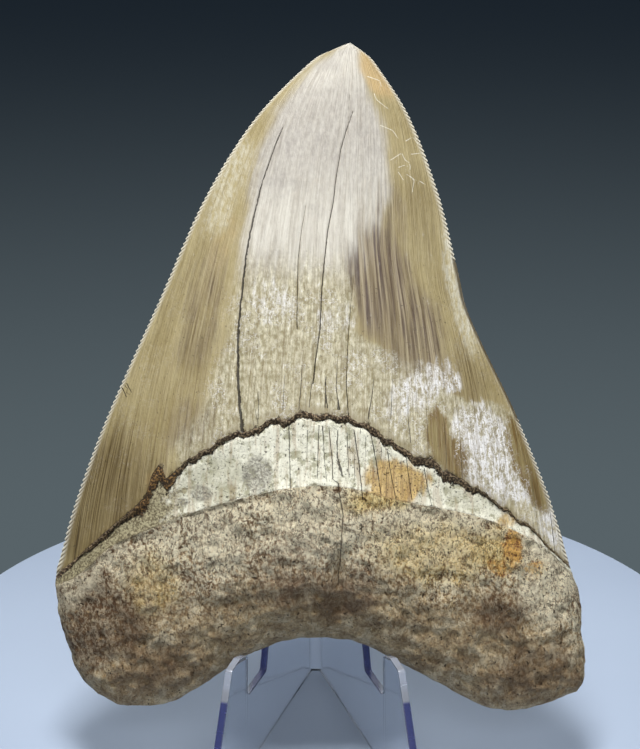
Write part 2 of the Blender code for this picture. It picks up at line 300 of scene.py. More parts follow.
@dataclass(frozen=True)
class ToothOutline:
    """Outline of the tooth in its own plane, from the tip down each side."""

    tip: Point = (6.6, 145)
    left_edge: Curve = ((6.6, 145), (2, 143.1), (-2.8, 140.2), (-14.6, 128), (-25.4, 110.7),
                        (-35.2, 88.8), (-46.9, 62.6), (-54.1, 42.9), (-57.9, 28.2))
    right_edge: Curve = ((6.6, 145), (10, 142.6), (12.8, 139.6), (20, 128), (26.4, 110.7),
                         (30.2, 95), (31.9, 87.5), (35, 80.1), (43.4, 62.6), (50.4, 45.1),
                         (54.6, 30.6))
    left_root: Curve = ((-57.9, 28.2), (-57.3, 21.6), (-55.2, 13.6), (-52.6, 6.6), (-48.5, 2.4))
    right_root: Curve = ((54.6, 30.6), (56.8, 24), (57.2, 16), (58, 9.5), (57.5, 5.6),
                         (56, 3.2))
    bottom: Curve = ((-48.5, 2.4), (-43.8, 0.3), (-37.2, 0), (-31, 1.4), (-24.7, 5.2),
                     (-18, 9.8), (-10, 13.4), (-3, 14.8), (3, 14.8), (8.8, 13.6),
                     (17.5, 9.4), (27.4, 4.2), (33.5, 0.8), (40, -1), (46, -0.5),
                     (52, 1.4), (56, 3.2))
    band_side_share: float = 0.06


@dataclass(frozen=True)
class FaceForm:
    """Sizes of one face of the tooth.

    Attributes:
        side: which face it is.
        arc: even curve that the enamel's lower edge follows.
        margin: the enamel's lower edge with its broken steps.
        band_foot: lower line of the smooth band.
        crown_depth: thickness of the crown's half at its foot.
        root_depth: thickness of the root's half.
        root_swell: how much thicker the root is in the middle.
        ledge: height of the enamel's lower edge above the band.
        gap_depth: depth of the gap under that edge.
        band_rows: rows of the band, an even number.
        root_rows: rows of the root, an even number.
        ruggedness: strength of the jags along the enamel's lower edge.
        seed: seed of its unevenness.
    """

    side: Side
    arc: Curve
    margin: Curve
    band_foot: Curve
    crown_depth: float
    root_depth: float
    root_swell: float
    ledge: float
    gap_depth: float
    band_rows: int
    root_rows: int
    ruggedness: float
    seed: int


FRONT = FaceForm(
    side=Side.FRONT,
    arc=((-57.9, 28.2), (-44, 41), (-25, 55.5), (-4, 63.5), (12, 60.5), (33, 48),
         (54.6, 30.6)),
    margin=((-57.9, 28.2), (-44.2, 40.3), (-39.4, 44.2), (-37.2, 46.8), (-36.3, 51),
            (-34.1, 53.2), (-32.8, 50.5), (-24.9, 56), (-17.3, 60.4), (-3.7, 64.3), (4.6, 63.9),
            (11.2, 61.3), (16.6, 57.1), (24.3, 54), (27.8, 51.4), (33.5, 48.6), (38.5, 43.8),
            (44.6, 40.7), (49.7, 34.8), (54.6, 30.6)),
    band_foot=((-57.8, 26.4), (-52.6, 28.8), (-44.4, 35.7), (-32.6, 40.7), (-23.4, 44.2),
               (-7.7, 48.1), (4.4, 48.6), (17.1, 45.5), (33.5, 42), (46.2, 36.5), (55.2, 28.9)),
    crown_depth=12.0, root_depth=9.0, root_swell=6.4, ledge=0.5, gap_depth=0.35,
    band_rows=24, root_rows=96, ruggedness=1.0, seed=11)

BACK_LINE = ((-57.9, 28.2), (-44, 31), (-25, 39), (-2, 44), (22, 40),
             (42, 32.5), (54.6, 30.6))

BACK = FaceForm(
    side=Side.BACK, arc=BACK_LINE, margin=BACK_LINE,
    band_foot=((-57.8, 26.4), (-44, 29.4), (-25, 37.4), (-2, 42.4), (22, 38.4),
               (42, 30.9), (55.2, 28.9)),
    crown_depth=7.4, root_depth=8.2, root_swell=1.2, ledge=0.3, gap_depth=0.2,
    band_rows=12, root_rows=48, ruggedness=0.35, seed=29)

CRACKS = (
    Stroke(((-8, 126.1), (-10, 121.2), (-12.6, 113.5), (-13.4, 110.2), (-15.1, 102.6),
            (-15.9, 97.8), (-17.2, 86.3), (-17.6, 78.8), (-17.5, 71.3), (-17.1, 65.4),
            (-16.4, 60.2)), 0.05, 0.34),
    Stroke(((7.2, 129.5), (5.8, 125.5), (4.5, 121.1), (3.5, 114.9), (2.8, 109), (1.7, 103.6),
            (1.1, 98.2), (0.4, 90.6), (0, 82), (-0.9, 75.6), (-1.5, 70.3)), 0.04, 0.13),
    Stroke(((-3, 109), (-4.1, 102.5), (-4.7, 97.1), (-4.9, 88.4), (-4.9, 82)), 0.02, 0.09),
    Stroke(((7.3, 93.9), (6.6, 87.4), (6, 79.9), (5.6, 70), (6.2, 62)), 0.02, 0.10),
)


@dataclass
class ToothGrid:
    """Rows and columns of one face, with the share across of every point.

    Attributes:
        crown_cells: rows of the crown.
        fine: steps of the serrated edge to a row of the crown.
        strip_shares: shares across of the fine columns beside each cutting edge.
        first_share: share across of the first plain column.
        crowding: how much closer the columns lie at the sides than in the middle.
        lead_half: share between a crack's middle column and the ones beside it.
        fixed: shares across that stay in place when the columns are drawn onto the cracks.
    """

    crown_cells: int = 224
    fine: int = 3
    strip_shares: Curve = (0.003, 0.0068)
    first_share: float = 0.012
    crowding: float = 0.25
    lead_half: float = 0.0034
    fixed: Point = (0.03, 0.97)

    def plain_columns(self, cells: int) -> Array:
        """Shares of columns without leads, closer together at the sides.

        Args:
            cells: number of cells across.

        Returns:
            The columns' shares.
        """
        steps = np.linspace(0, 1, cells - 1)
        eased = steps - self.crowding * np.sin(2 * math.pi * steps) / (2 * math.pi)
        inner = self.first_share + (1 - 2 * self.first_share) * eased
        return np.concatenate([[0.0], inner, [1.0]])

    def led_columns(self, cells: int, leads: Array) -> Array:
        """Plain columns with three more at each lead, and none beside those.

        Args:
            cells: number of cells across without leads.
            leads: share of each lead.

        Returns:
            The columns' shares, an odd number of them.
        """
        plain = self.plain_columns(cells - 3 * len(leads))
        gap = 0.4 / cells
        clear = np.all(np.abs(plain[:, None] - leads[None]) > self.lead_half + gap, axis=1)
        clear[[0, -1]] = True
        near = (leads[:, None] + np.array([-1, 0, 1]) * self.lead_half).ravel()
        columns = np.sort(np.concatenate([plain[clear], near]))
        if len(columns) % 2 == 0:
            widest = int(np.argmax(np.diff(columns)))
            columns = np.insert(columns, widest + 1, columns[widest:widest + 2].mean())
        return columns

    def led_shares(self, columns: Array, leads: Array, places: Array) -> Array:
        """Shares of every point, with the columns at the leads drawn onto them.

        Between two leads the shares are stretched evenly.

        Args:
            columns: share of each column.
            leads: share of each lead's column.
            places: share of each lead in each row, rows by leads.

        Returns:
            Shares, rows by columns.
        """
        low, high = self.fixed
        marks = np.concatenate([[0.0, low], leads, [high, 1.0]])
        rows = len(places)
        ends = [np.full(rows, value) for value in (0.0, low, high, 1.0)]
        goals = np.stack([*ends[:2], *places.T, *ends[2:]], axis=1)
        shares = np.zeros((rows, len(columns)))
        for k in range(len(marks) - 1):
            inside = (columns >= marks[k]) & (columns <= marks[k + 1])
            t = (columns[inside] - marks[k]) / (marks[k + 1] - marks[k])
            shares[:, inside] = goals[:, k, None] * (1 - t) + goals[:, k + 1, None] * t
        return shares


@dataclass
class FaceSurface:
    """Places and depths of one face, and of the fine strips beside its cutting edges."""

    plan: Array
    depth: Array
    share: Array
    place: Array
    strip_plan: Array
    strip_depth: Array
    strip_share: Array
    strip_place: Array


@dataclass
class Tooth:
    """The tooth: two faces that share one outline.

    Each face is a function of the share across and the share down. Its plan is a patch between the
    outline and the enamel's lower edge, then the band, then the root. Its depth is a lens in the
    crown and a round block in the root, with relief added.

    Attributes:
        outline: its outline.
        grid: rows and columns of its faces.
        columns: columns of the front's crown before those at the cracks.
        serrations: how many each cutting edge has.
        notch_depth: depth of the notches between them.
        worn: heights between which the right edge is worn blunt.
        worn_fade: height over which the wear fades out.
        taper: power of the crown's thinning towards the tip.
        lens_power: power of the crown's thinning towards its edges.
        swell_reach: distance from the middle that the root's swelling reaches.
        arch_roundness: power of the root's rounded foot in the middle.
        lobe_roundness: the same at the lobes.
        side_power: power of the root's round sides.
        foot_power: power of the root's thinning towards its foot.
        turn: places down where the lens starts and ends turning into the block.
        sure_depth: depth from which on the relief has its full strength.
        band_hollow: depth of the band's hollow.
        near_rows: distances of the band's first rows below the enamel.
        lean: angle that the tooth leans back.
        place: its origin seen from the easel's.
    """

    outline: ToothOutline = field(default_factory=ToothOutline)
    grid: ToothGrid = field(default_factory=ToothGrid)
    columns: int = 172
    serrations: int = 112
    notch_depth: float = 0.5
    worn: Point = (64.0, 96.0)
    worn_fade: float = 4.0
    taper: float = 0.72
    lens_power: float = 2.2
    swell_reach: float = 24.0
    arch_roundness: float = 0.62
    lobe_roundness: float = 0.54
    side_power: float = 4.0
    foot_power: float = 2.3
    turn: Point = (0.86, 1.5)
    sure_depth: float = 4.0
    band_hollow: float = 0.5
    near_rows: tuple[float, ...] = (0.15, 0.45, 0.75, 1.05, 1.4, 1.75, 2.2)
    lean: float = math.radians(19.5)
    place: Triple = (1.0, -44.8, 15.2)

    def crown_plan(self, form: FaceForm, shares: Array, down: Array) -> Array:
        """Places of the crown: a patch from the tip to the even arc, drawn onto the broken margin.

        Args:
            form: sizes of the face.
            shares: share across of each point, rows by columns.
            down: share down of each row.

        Returns:
            Places, rows by columns by two.
        """
        line = self.outline
        tip = np.broadcast_to(np.array(line.tip), (*shares.shape, 2))
        arc = across_curve(form.arc, shares)
        left, right = smooth_curve(line.left_edge, down), smooth_curve(line.right_edge, down)
        ends = line.left_edge[-1], line.right_edge[-1]
        s, v = shares[..., None], down[:, None, None]
        plan = ((1 - s) * left[:, None] + s * right[:, None] + (1 - v) * tip + v * arc
                - (1 - v) * tip - v * ((1 - s) * np.array(ends[0]) + s * np.array(ends[1])))
        return plan + v ** 7 * (self.margin_line(form, shares) - arc)

    def margin_line(self, form: FaceForm, shares: Array) -> Array:
        """Lower edge of the enamel: straight runs between its steps, with jags added.

        The jags are noise cut into steps, plus finer noise, fading out at both corners.

        Args:
            form: sizes of the face.
            shares: shares across, in any shape.

        Returns:
            The places, with a last axis of two.
        """
        line = across_curve(form.margin, shares, smooth=form.side is Side.BACK)
        x = line[..., 0]
        rough = Unevenness(form.seed)
        steps = np.round(rough.at(x / 2.3, 0.5) * 5) / 5
        fade = form.ruggedness * smooth_step(x, -44, -34) * smooth_step(-x, -53, -47)
        line[..., 1] += (1.5 * steps + 0.9 * rough.at(x / 0.9, 4.5)) * fade
        fine = 0.25 * form.ruggedness * rough.at(x / 1.1, 8.5)
        line[..., 1] += fine * np.sin(math.pi * shares).clip(0)
        return line

    def lead_places(self, form: FaceForm, down: Array) -> tuple[Array, Array]:
        """Share across of each crack in each row, and its mean share, from left to right.

        A row's share is where the row crosses the crack's path. Above the crack's top it eases to
        the mean.

        Args:
            form: sizes of the face.
            down: share down of each row.

        Returns:
            Mean share of each crack, and its share in each row.
        """
        dense = np.linspace(0.02, 0.98, 300)
        plan = self.crown_plan(form, np.tile(dense, (len(down), 1)), down)
        found = []
        for crack in CRACKS:
            path = np.array(crack.points)[::-1]
            gap = plan[..., 0] - np.interp(plan[..., 1], path[:, 1], path[:, 0])
            after = np.clip((gap > 0).argmax(axis=1), 1, len(dense) - 1)
            rows = np.arange(len(down))
            low, high = gap[rows, after - 1], gap[rows, after]
            t = np.clip(-low / (high - low + 1e-9), 0, 1)
            share = dense[after - 1] + t * (dense[1] - dense[0])
            height = plan[rows, after, 1]
            here = smooth_step(-height, -path[-1, 1] - 9, -path[-1, 1])
            mean = share[height < path[-1, 1]].mean()
            found.append((mean, mean + (share - mean) * here))
        found.sort(key=lambda pair: pair[0])
        return np.array([mean for mean, _ in found]), joined(*(share for _, share in found))

    def blunted(self, height: Array) -> Array:
        """How blunt the worn edge is at each height: 1 between the two heights, 0 further off."""
        low, high = self.worn
        return (smooth_step(height, low - self.worn_fade, low)
                * smooth_step(-height, -high - self.worn_fade, -high))

    def serrated(self, steps: Array, edge: Array, worn: bool) -> tuple[Array, Array]:
        """Way that each point of a cutting edge is drawn inwards, and the serrations' wave.

        The wave is a cosine along the edge with one turn to a serration, its crests broadened, and
        noise makes the notches uneven.

        Args:
            steps: shares down the edge.
            edge: its places.
            worn: True for the edge that is worn blunt.

        Returns:
            The way inwards and the wave of each point.
        """
        phase = steps * self.serrations
        wave = 0.5 + 0.5 * np.cos(2 * math.pi * phase)
        uneven = 1 + 0.8 * Unevenness(3).at(phase * 0.37, 0.5 + worn)
        keen = 1 - smooth_step(steps, 0.93, 0.98)
        if worn:
            keen = (1 - 0.85 * self.blunted(edge[:, 1])) * (1 - smooth_step(steps, 0.9, 0.95))
        ahead = np.gradient(edge, axis=0)
        across = joined(-ahead[:, 1], ahead[:, 0])
        across /= np.linalg.norm(across, axis=1)[:, None]
        inwards = across * np.sign(-across[len(edge) // 2, 0] * edge[len(edge) // 2, 0])
        notch = self.notch_depth * (1 - wave ** 0.7) * uneven.clip(0.3) * keen
        return inwards * notch[:, None], wave * keen

    def depth_of(self, form: FaceForm, plan: Array, shares: Array, place: Array, crown: Array,
                 root: Array) -> Array:
        """How far a face stands out from the outline's plane.

        The crown is a lens, 1 - sigma ** power across and crown ** taper down. The root is a block
        with round sides that thins to its foot. An even step turns one into the other.

        Args:
            form: sizes of the face.
            plan: places.
            shares: share across of each point.
            place: how far down each row is, 1 at the enamel's lower edge.
            crown: share down the crown of each row, 1 below it.
            root: share down the root of each row, 0 above it.

        Returns:
            Depth of each point in millimetres.
        """
        sigma = np.abs(2 * shares - 1)
        lens = form.crown_depth * crown[:, None] ** self.taper * (1 - sigma ** self.lens_power)
        swell = np.exp(-(plan[..., 0] / self.swell_reach) ** 2)
        block = (form.root_depth + form.root_swell * swell) * np.sqrt(1 - sigma ** self.side_power)
        turned = smooth_step(place, *self.turn)[:, None]
        roundness = self.lobe_roundness + (self.arch_roundness - self.lobe_roundness) * swell
        foot = (1 - root[:, None] ** self.foot_power).clip(0) ** roundness
        return (lens + (block - lens) * turned) * foot

    def crown_relief(self, form: FaceForm, plan: Array, shares: Array, crown: Array) -> Array:
        """Relief of the enamel: low waves, fanned grain, crack grooves and the margin's ledge.

        Args:
            form: sizes of the face.
            plan: places.
            shares: share across of each point.
            crown: share down the crown of each row.

        Returns:
            Relief in millimetres.
        """
        x, z = plan[..., 0], plan[..., 1]
        rough = Unevenness(form.seed + 1)
        fan = shares * 100
        relief = 0.22 * rough.layered(x / 16, z / 24, 2)
        relief += 0.05 * rough.at(fan / 1.6, crown[:, None] * 5, 2.5)
        relief += form.ledge * smooth_step(crown, 0.8, 1)[:, None]
        near = smooth_step(crown, 0.95, 1)[:, None]
        relief += 0.35 * near * rough.layered(x / 3.0, z / 3.0, 3) * form.ruggedness
        if form.side is Side.FRONT:
            wide = tuple(Stroke(c.points, 2 * c.start, 2.2 * c.end) for c in CRACKS)
            relief -= 0.3 * np.exp(-towards_strokes(wide, x, z)[..., 2] ** 2)
        return relief

    def fracture_width(self, x: Array) -> Array:
        """Width of the broken edge under the enamel: about 1 mm, wider at the two bumps.

        A bump adds height * exp(-((x - middle) / reach) ** 2).

        Args:
            x: places across.

        Returns:
            Widths in millimetres.
        """
        width = 0.85 + 1.1 * Unevenness(41).at(x / 3.1, 0.5)
        for middle, reach, height in ((-35.5, 4.2, 2.5), (26, 9, 0.7)):
            width += height * np.exp(-((x - middle) / reach) ** 2)
        return 0.35 + (0.25 + 0.75 * smooth_step(-x, -42, -32)) * width.clip(0.25)

    def band_relief(self, form: FaceForm, plan: Array, below: Array, share: Array) -> Array:
        """Relief of the band: hollow in the middle, the broken enamel edge, and small pits.

        The broken edge slopes from the enamel's surface down to a gap, with crumbs on it.

        Args:
            form: sizes of the face.
            plan: places.
            below: distance under the enamel's edge of each point.
            share: share down the band of each point.

        Returns:
            Relief in millimetres.
        """
        x, z = plan[..., 0], plan[..., 1]
        rough = Unevenness(form.seed + 2)
        fall = below / self.fracture_width(x)
        gap = form.gap_depth * np.exp(-((fall - 1.0) / 0.28) ** 2)
        slope = form.ledge * (1 - smooth_step(fall, 0.05, 0.95))
        crumbs = 0.55 * rough.layered(x / 0.9, z / 0.9, 2) * smooth_step(-fall, -1.1, -0.5)
        relief = -self.band_hollow * np.sin(math.pi * share) - gap + slope + form.gap_depth * crumbs
        relief += 0.16 * rough.layered(x / 4, z / 4, 3)
        return relief + 0.16 * smooth_step(share, 0.86, 1) * (1 + rough.at(x / 2.5, 3.5))

    def root_relief(self, form: FaceForm, plan: Array, root: Array) -> Array:
        """Relief of the root: lumps, upright grain, long pits, and the groove in the front.

        Args:
            form: sizes of the face.
            plan: places.
            root: share down the root of each row.

        Returns:
            Relief in millimetres.
        """
        x, z = plan[..., 0], plan[..., 1]
        rough = Unevenness(form.seed + 3)
        relief = 1.15 * rough.layered(x / 6.0, z / 5.0, 3)
        relief += 0.28 * rough.at(x / 1.1, z / 4.2, 3.5)
        relief += 0.62 * rough.layered(x / 1.9, z / 2.2, 2)
        pits = rough.at(x / 1.25, z / 2.1, 9.5)
        relief -= 0.8 * smooth_step(pits, 0.16, 0.55)
        relief += 0.1 * (1 - smooth_step(root, 0, 0.06))[:, None]
        if form.side is Side.FRONT:
            run = smooth_step(z, 18, 23) * smooth_step(-z, -38, -33)
            relief -= 1.6 * np.exp(-((x - 4.4) / 1.7) ** 2) * run
            slit = smooth_step(z, 25, 28) * smooth_step(-z, -50, -46)
            relief -= 0.7 * np.exp(-((x - 4.3 - 0.3 * rough.at(z / 3, 1.5)) / 0.42) ** 2) * slit
        return relief

    def band_down(self, form: FaceForm, height: Array) -> Array:
        """Share down the band of each row: even, but close under the enamel on the front.

        Args:
            form: sizes of the face.
            height: height of the band at each column.

        Returns:
            Shares, rows by columns on the front and rows by one on the back.
        """
        rows, near = form.band_rows, len(self.near_rows)
        even = np.arange(1, rows + 1)[:, None] / rows
        if form.side is Side.FRONT:
            even = np.broadcast_to(even, height.shape).copy()
            even[:near] = np.minimum(np.array(self.near_rows)[:, None] / height[:near], even[:near])
            rest = np.arange(1, rows - near + 1)[:, None] / (rows - near)
            even[near:] = even[near - 1] + (1 - even[near - 1]) * rest
        return even

    def root_plan(self, form: FaceForm, shares: Array, down: Array) -> Array:
        """Places of the root: a patch between the band's foot and the outline.

        It is the sides blended across plus the ends blended down, less the corners.

        Args:
            form: sizes of the face.
            shares: share across of each point, rows by columns.
            down: share down the root of each row.

        Returns:
            Places, rows by columns by two.
        """
        line = self.outline
        side = line.band_side_share + (1 - line.band_side_share) * np.concatenate([[0.0], down])
        left, right = smooth_curve(line.left_root, side), smooth_curve(line.right_root, side)
        top, bottom = across_curve(form.band_foot, shares), across_curve(line.bottom, shares)
        s, v = shares[..., None], down[:, None, None]
        return ((1 - s) * left[1:, None] + s * right[1:, None] + (1 - v) * top + v * bottom
                - (1 - v) * ((1 - s) * left[0] + s * right[0])
                - v * ((1 - s) * left[-1] + s * right[-1]))

    def face(self, form: FaceForm) -> FaceSurface:
        """Places and depths of every point of one face.

        Args:
            form: sizes of the face. The front comes first, because the back takes half its columns.

        Returns:
            The face.
        """
        line, cells = self.outline, self.grid.crown_cells
        down = np.arange(1, cells + 1) / cells
        if form.side is Side.FRONT:
            leads, led = self.lead_places(form, down)
            columns = self.grid.led_columns(self.columns, leads)
            crown_shares = self.grid.led_shares(columns, leads, led)
        else:
            columns = self.back_columns
            crown_shares = np.tile(columns, (cells, 1))
        self.back_columns = columns[::2].copy()
        crown_plan = self.crown_plan(form, crown_shares, down)

        rows = form.band_rows
        last = crown_shares[-1]
        below_rows = rows + form.root_rows
        ease = smooth_step(np.arange(1, below_rows + 1) / below_rows, 0.1, 0.75)[:, None]
        shares_below = last[None] * (1 - ease) + columns[None] * ease
        top = crown_plan[-1]
        band_shares, root_shares = shares_below[:rows], shares_below[rows:]
        foot = across_curve(form.band_foot, band_shares)
        head = self.margin_line(form, band_shares)
        head[:, [0, -1]] = top[[0, -1]]
        height = np.maximum(head[..., 1] - foot[..., 1], 0.4)
        even = self.band_down(form, height)
        band_plan = head + (foot - head) * np.broadcast_to(even, height.shape)[..., None]
        side_band = even[:, 0] * line.band_side_share
        band_plan[:, 0] = smooth_curve(line.left_root, side_band)
        band_plan[:, -1] = smooth_curve(line.right_root, even[:, -1] * line.band_side_share)

        steps = np.arange(1, form.root_rows + 1) / form.root_rows
        root = 0.5 * np.sin(steps * math.pi / 2) + 0.5 * steps
        root_plan = self.root_plan(form, root_shares, root)

        plan = np.concatenate([crown_plan, band_plan, root_plan])
        share = np.concatenate([crown_shares, shares_below])
        band_place = np.interp(np.arange(1, rows + 1) / rows, [0, 0.06, 0.5, 1.0], [0, 1, 2, 3])
        place = np.concatenate([down, 1 + band_place / 15, 1 + (3 + 12 * steps) / 15])
        crown = np.concatenate([down, np.ones(below_rows)])
        root_all = np.concatenate([np.zeros(cells + rows), root])
        depth = self.depth_of(form, plan, share, place, crown, root_all)
        fade = np.minimum(1, depth / self.sure_depth)
        relief = np.zeros_like(depth)
        relief[:cells] = self.crown_relief(form, crown_plan, crown_shares, down)
        relief[cells:cells + rows] = self.band_relief(form, band_plan, height * even, even)
        relief[cells + rows:] = self.root_relief(form, root_plan, root)
        depth = depth + relief * fade

        fine_down = np.arange(0, cells * self.grid.fine + 1) / (cells * self.grid.fine)
        narrow = np.array(self.grid.strip_shares)
        strip_share = np.tile(np.concatenate([narrow, 1 - narrow]), (len(fine_down), 1))
        strip_plan = self.crown_plan(form, strip_share, fine_down)
        strip_depth = self.depth_of(form, strip_plan, strip_share, fine_down, fine_down,
                                    np.zeros(len(fine_down)))
        return FaceSurface(plan, depth, share, place, strip_plan, strip_depth, strip_share,
                           fine_down)


class Zone(Enum):
    """The three finishes on the tooth, in the order of its material slots."""

    ENAMEL = 0
    BAND = 1
    BONE = 2


class PointStore:
    """Gathers the points of a mesh block by block, with what is known of each."""

    FIELDS = ("x", "y", "z", "side", "share", "place", "wave")

    def __init__(self) -> None:
        """Starts with no points."""
        self.blocks: list[Array] = []
        self.count = 0

    def add(self, **values: Array | float) -> Array:
        """Adds a block of points.

        Args:
            values: one array or number for each field.

        Returns:
            The points' numbers in the shape of the arrays.
        """
        block = joined(*np.broadcast_arrays(*(values[name] for name in self.FIELDS)))
        numbers = self.count + np.arange(block[..., 0].size).reshape(block.shape[:-1])
        self.blocks.append(block.reshape(-1, len(self.FIELDS)).astype(float))
        self.count += numbers.size
        return numbers

    def gathered(self) -> dict[str, Array]:
        """Every field as one array."""
        return dict(zip(self.FIELDS, np.concatenate(self.blocks).T))


class FaceStore:
    """Gathers the faces of a mesh, seen from the front with corners down, right and up."""

    def __init__(self) -> None:
        """Starts with no faces."""
        self.faces: list[list[int]] = []
        self.zones: list[int] = []

    def add(self, side: Side, zone: Zone, *corners: Array) -> None:
        """Adds one face for each row of the corners' arrays.

        Args:
            side: the face of the tooth that they are on.
            zone: the finish that they take.
            corners: one array of point numbers for each corner.
        """
        rows = joined(*(np.ravel(corner) for corner in corners))
        rows = rows if side is Side.FRONT else rows[:, ::-1]
        self.faces += rows.tolist()
        self.zones += [zone.value] * len(rows)

    def add_grid(self, side: Side, zone: Zone, numbers: Array) -> None:
        """Adds the four-cornered faces between the rows and columns of a grid."""
        self.add(side, zone, numbers[:-1, :-1], numbers[1:, :-1], numbers[1:, 1:], numbers[:-1, 1:])


@dataclass
class ToothMesh:
    """Joins the two faces of the tooth into one closed mesh and writes the tones of its points.

    Attributes:
        tooth: the tooth's shape.
        name: name of its object.
        root_roughness: strength of the root's uneven outline, in millimetres.
        sharp_from: angle in degrees from which edges are shaded sharp.
        strip_pull: share of the serrations' pull that each fine column takes.
    """

    tooth: Tooth
    name: str = "fossil_tooth"
    root_roughness: float = 0.5
    sharp_from: float = 52.0
    strip_pull: Point = (0.55, 0.22)

    def build(self, finishes: dict[Zone, Material], origin: Vector) -> Object:
        """Makes the tooth.

        Args:
            finishes: material of each zone.
            origin: the easel's origin, in metres.

        Returns:
            The tooth's object.
        """
        points, faces = PointStore(), FaceStore()
        front, back = self.tooth.face(FRONT), self.tooth.face(BACK)
        chains = self.lay_edges(points)
        front_ids, front_strips = self.lay_face(points, FRONT, front, chains, None)
        back_ids, back_strips = self.lay_face(points, BACK, back, chains, front_ids)
        for form, ids, strips in ((FRONT, front_ids, front_strips), (BACK, back_ids, back_strips)):
            self.crown_faces(faces, form, ids, strips)
        self.front_below(faces, front_ids, front_strips)
        self.back_below(faces, back_ids, front_ids, back_strips)

        known = points.gathered()
        tooth = new_object(self.name, self.placed(known, origin), faces.faces,
                           *(finishes[zone] for zone in Zone))
        mesh = tooth.data
        mesh.polygons.foreach_set("material_index", np.array(faces.zones, dtype=np.int32))
        for name, values in ToothTones(self.tooth).of_points(known).items():
            layer = mesh.attributes.new(name, "FLOAT_VECTOR", "POINT")
            layer.data.foreach_set("vector", values.astype(np.float32).ravel())
        mesh.set_sharp_from_angle(angle=math.radians(self.sharp_from))
        mesh.update()
        return tooth

    def placed(self, known: dict[str, Array], origin: Vector) -> Array:
        """The points in the row frame: the root roughened, leaned back, moved to the easel.

        Args:
            known: the fields of the points.
            origin: the easel's origin, in metres.

        Returns:
            Places in metres.
        """
        tooth = self.tooth
        lean = Matrix.Rotation(-tooth.lean, 3, "X")
        rough = Unevenness(53)
        low = self.root_roughness * smooth_step(-known["z"], -38, -28)
        x = known["x"] + low * rough.layered(known["z"] / 3.4, known["x"] / 9, 3)
        z = known["z"] + low * rough.layered(known["x"] / 3.8 + 30, known["z"] / 9, 3)
        local = joined(x, known["y"], z) * MM
        return local @ np.array(lean).T + np.array(origin) + np.array(tooth.place) * MM

    def lay_edges(self, points: PointStore) -> tuple[Array, Array]:
        """Points of both cutting edges, from the shared tip down.

        Args:
            points: where the points go.

        Returns:
            Their numbers, left and right.
        """
        tooth = self.tooth
        count = tooth.grid.crown_cells * tooth.grid.fine
        steps = np.arange(count + 1) / count
        x, z = tooth.outline.tip
        tip = points.add(x=np.array([x]), y=0.0, z=z, side=0.0, share=0.5, place=0.0, wave=1.0)
        chains = []
        self.pulls = []
        for share, curve in ((0.0, tooth.outline.left_edge), (1.0, tooth.outline.right_edge)):
            edge = smooth_curve(curve, steps)
            pull, wave = tooth.serrated(steps, edge, share == 1.0)
            edge = edge + pull
            numbers = points.add(x=edge[1:, 0], y=0.0, z=edge[1:, 1], side=0.0, share=share,
                                 place=steps[1:], wave=wave[1:])
            chains.append(np.concatenate([tip, numbers]))
            self.pulls.append((pull, wave))
        return chains[0], chains[1]

    def lay_face(self, points: PointStore, form: FaceForm, face: FaceSurface,
                 chains: tuple[Array, Array], front_ids: Array | None) -> tuple[Array, list[Array]]:
        """Points of one face.

        Args:
            points: where the points go.
            form: sizes of the face.
            face: its places and depths.
            chains: the cutting edges' points.
            front_ids: the front's points, for the back, which shares the front's outline.

        Returns:
            The numbers of its grid, and of its strips from left to right, each with its edge.
        """
        cells, fine = self.tooth.grid.crown_cells, self.tooth.grid.fine
        turn = form.side.value
        ids = np.zeros(face.depth.shape, dtype=int)
        ids[:cells, 0], ids[:cells, -1] = chains[0][fine::fine], chains[1][fine::fine]

        def add(rows: slice, columns: slice) -> None:
            """Adds this part of the grid."""
            ids[rows, columns] = points.add(
                x=face.plan[rows, columns, 0], y=turn * face.depth[rows, columns],
                z=face.plan[rows, columns, 1], side=float(turn), share=face.share[rows, columns],
                place=np.broadcast_to(face.place[rows, None], face.share[rows, columns].shape),
                wave=0.0)

        add(slice(0, cells), slice(1, -1))
        if front_ids is None:
            add(slice(cells, None), slice(None))
        else:
            add(slice(cells, -1), slice(1, -1))
            for column in (0, -1):
                ids[cells:, column] = front_ids[cells + 1::2, column]
            ids[-1] = front_ids[-1, ::2]

        strips = []
        for column in range(4):
            pull, wave = self.pulls[column // 2]
            share = self.strip_pull[column % 2]
            plan = face.strip_plan[1:, column] + pull[1:] * share
            ridge = 1 + 0.35 * share * (2 * wave[1:] - 1)
            numbers = points.add(x=plan[:, 0], y=turn * face.strip_depth[1:, column] * ridge,
                                 z=plan[:, 1], side=float(turn), share=face.strip_share[1:, column],
                                 place=face.strip_place[1:], wave=wave[1:] * share)
            strips.append(np.concatenate([chains[0][:1], numbers]))
        return ids, [chains[0], strips[0], strips[1], strips[3], strips[2], chains[1]]

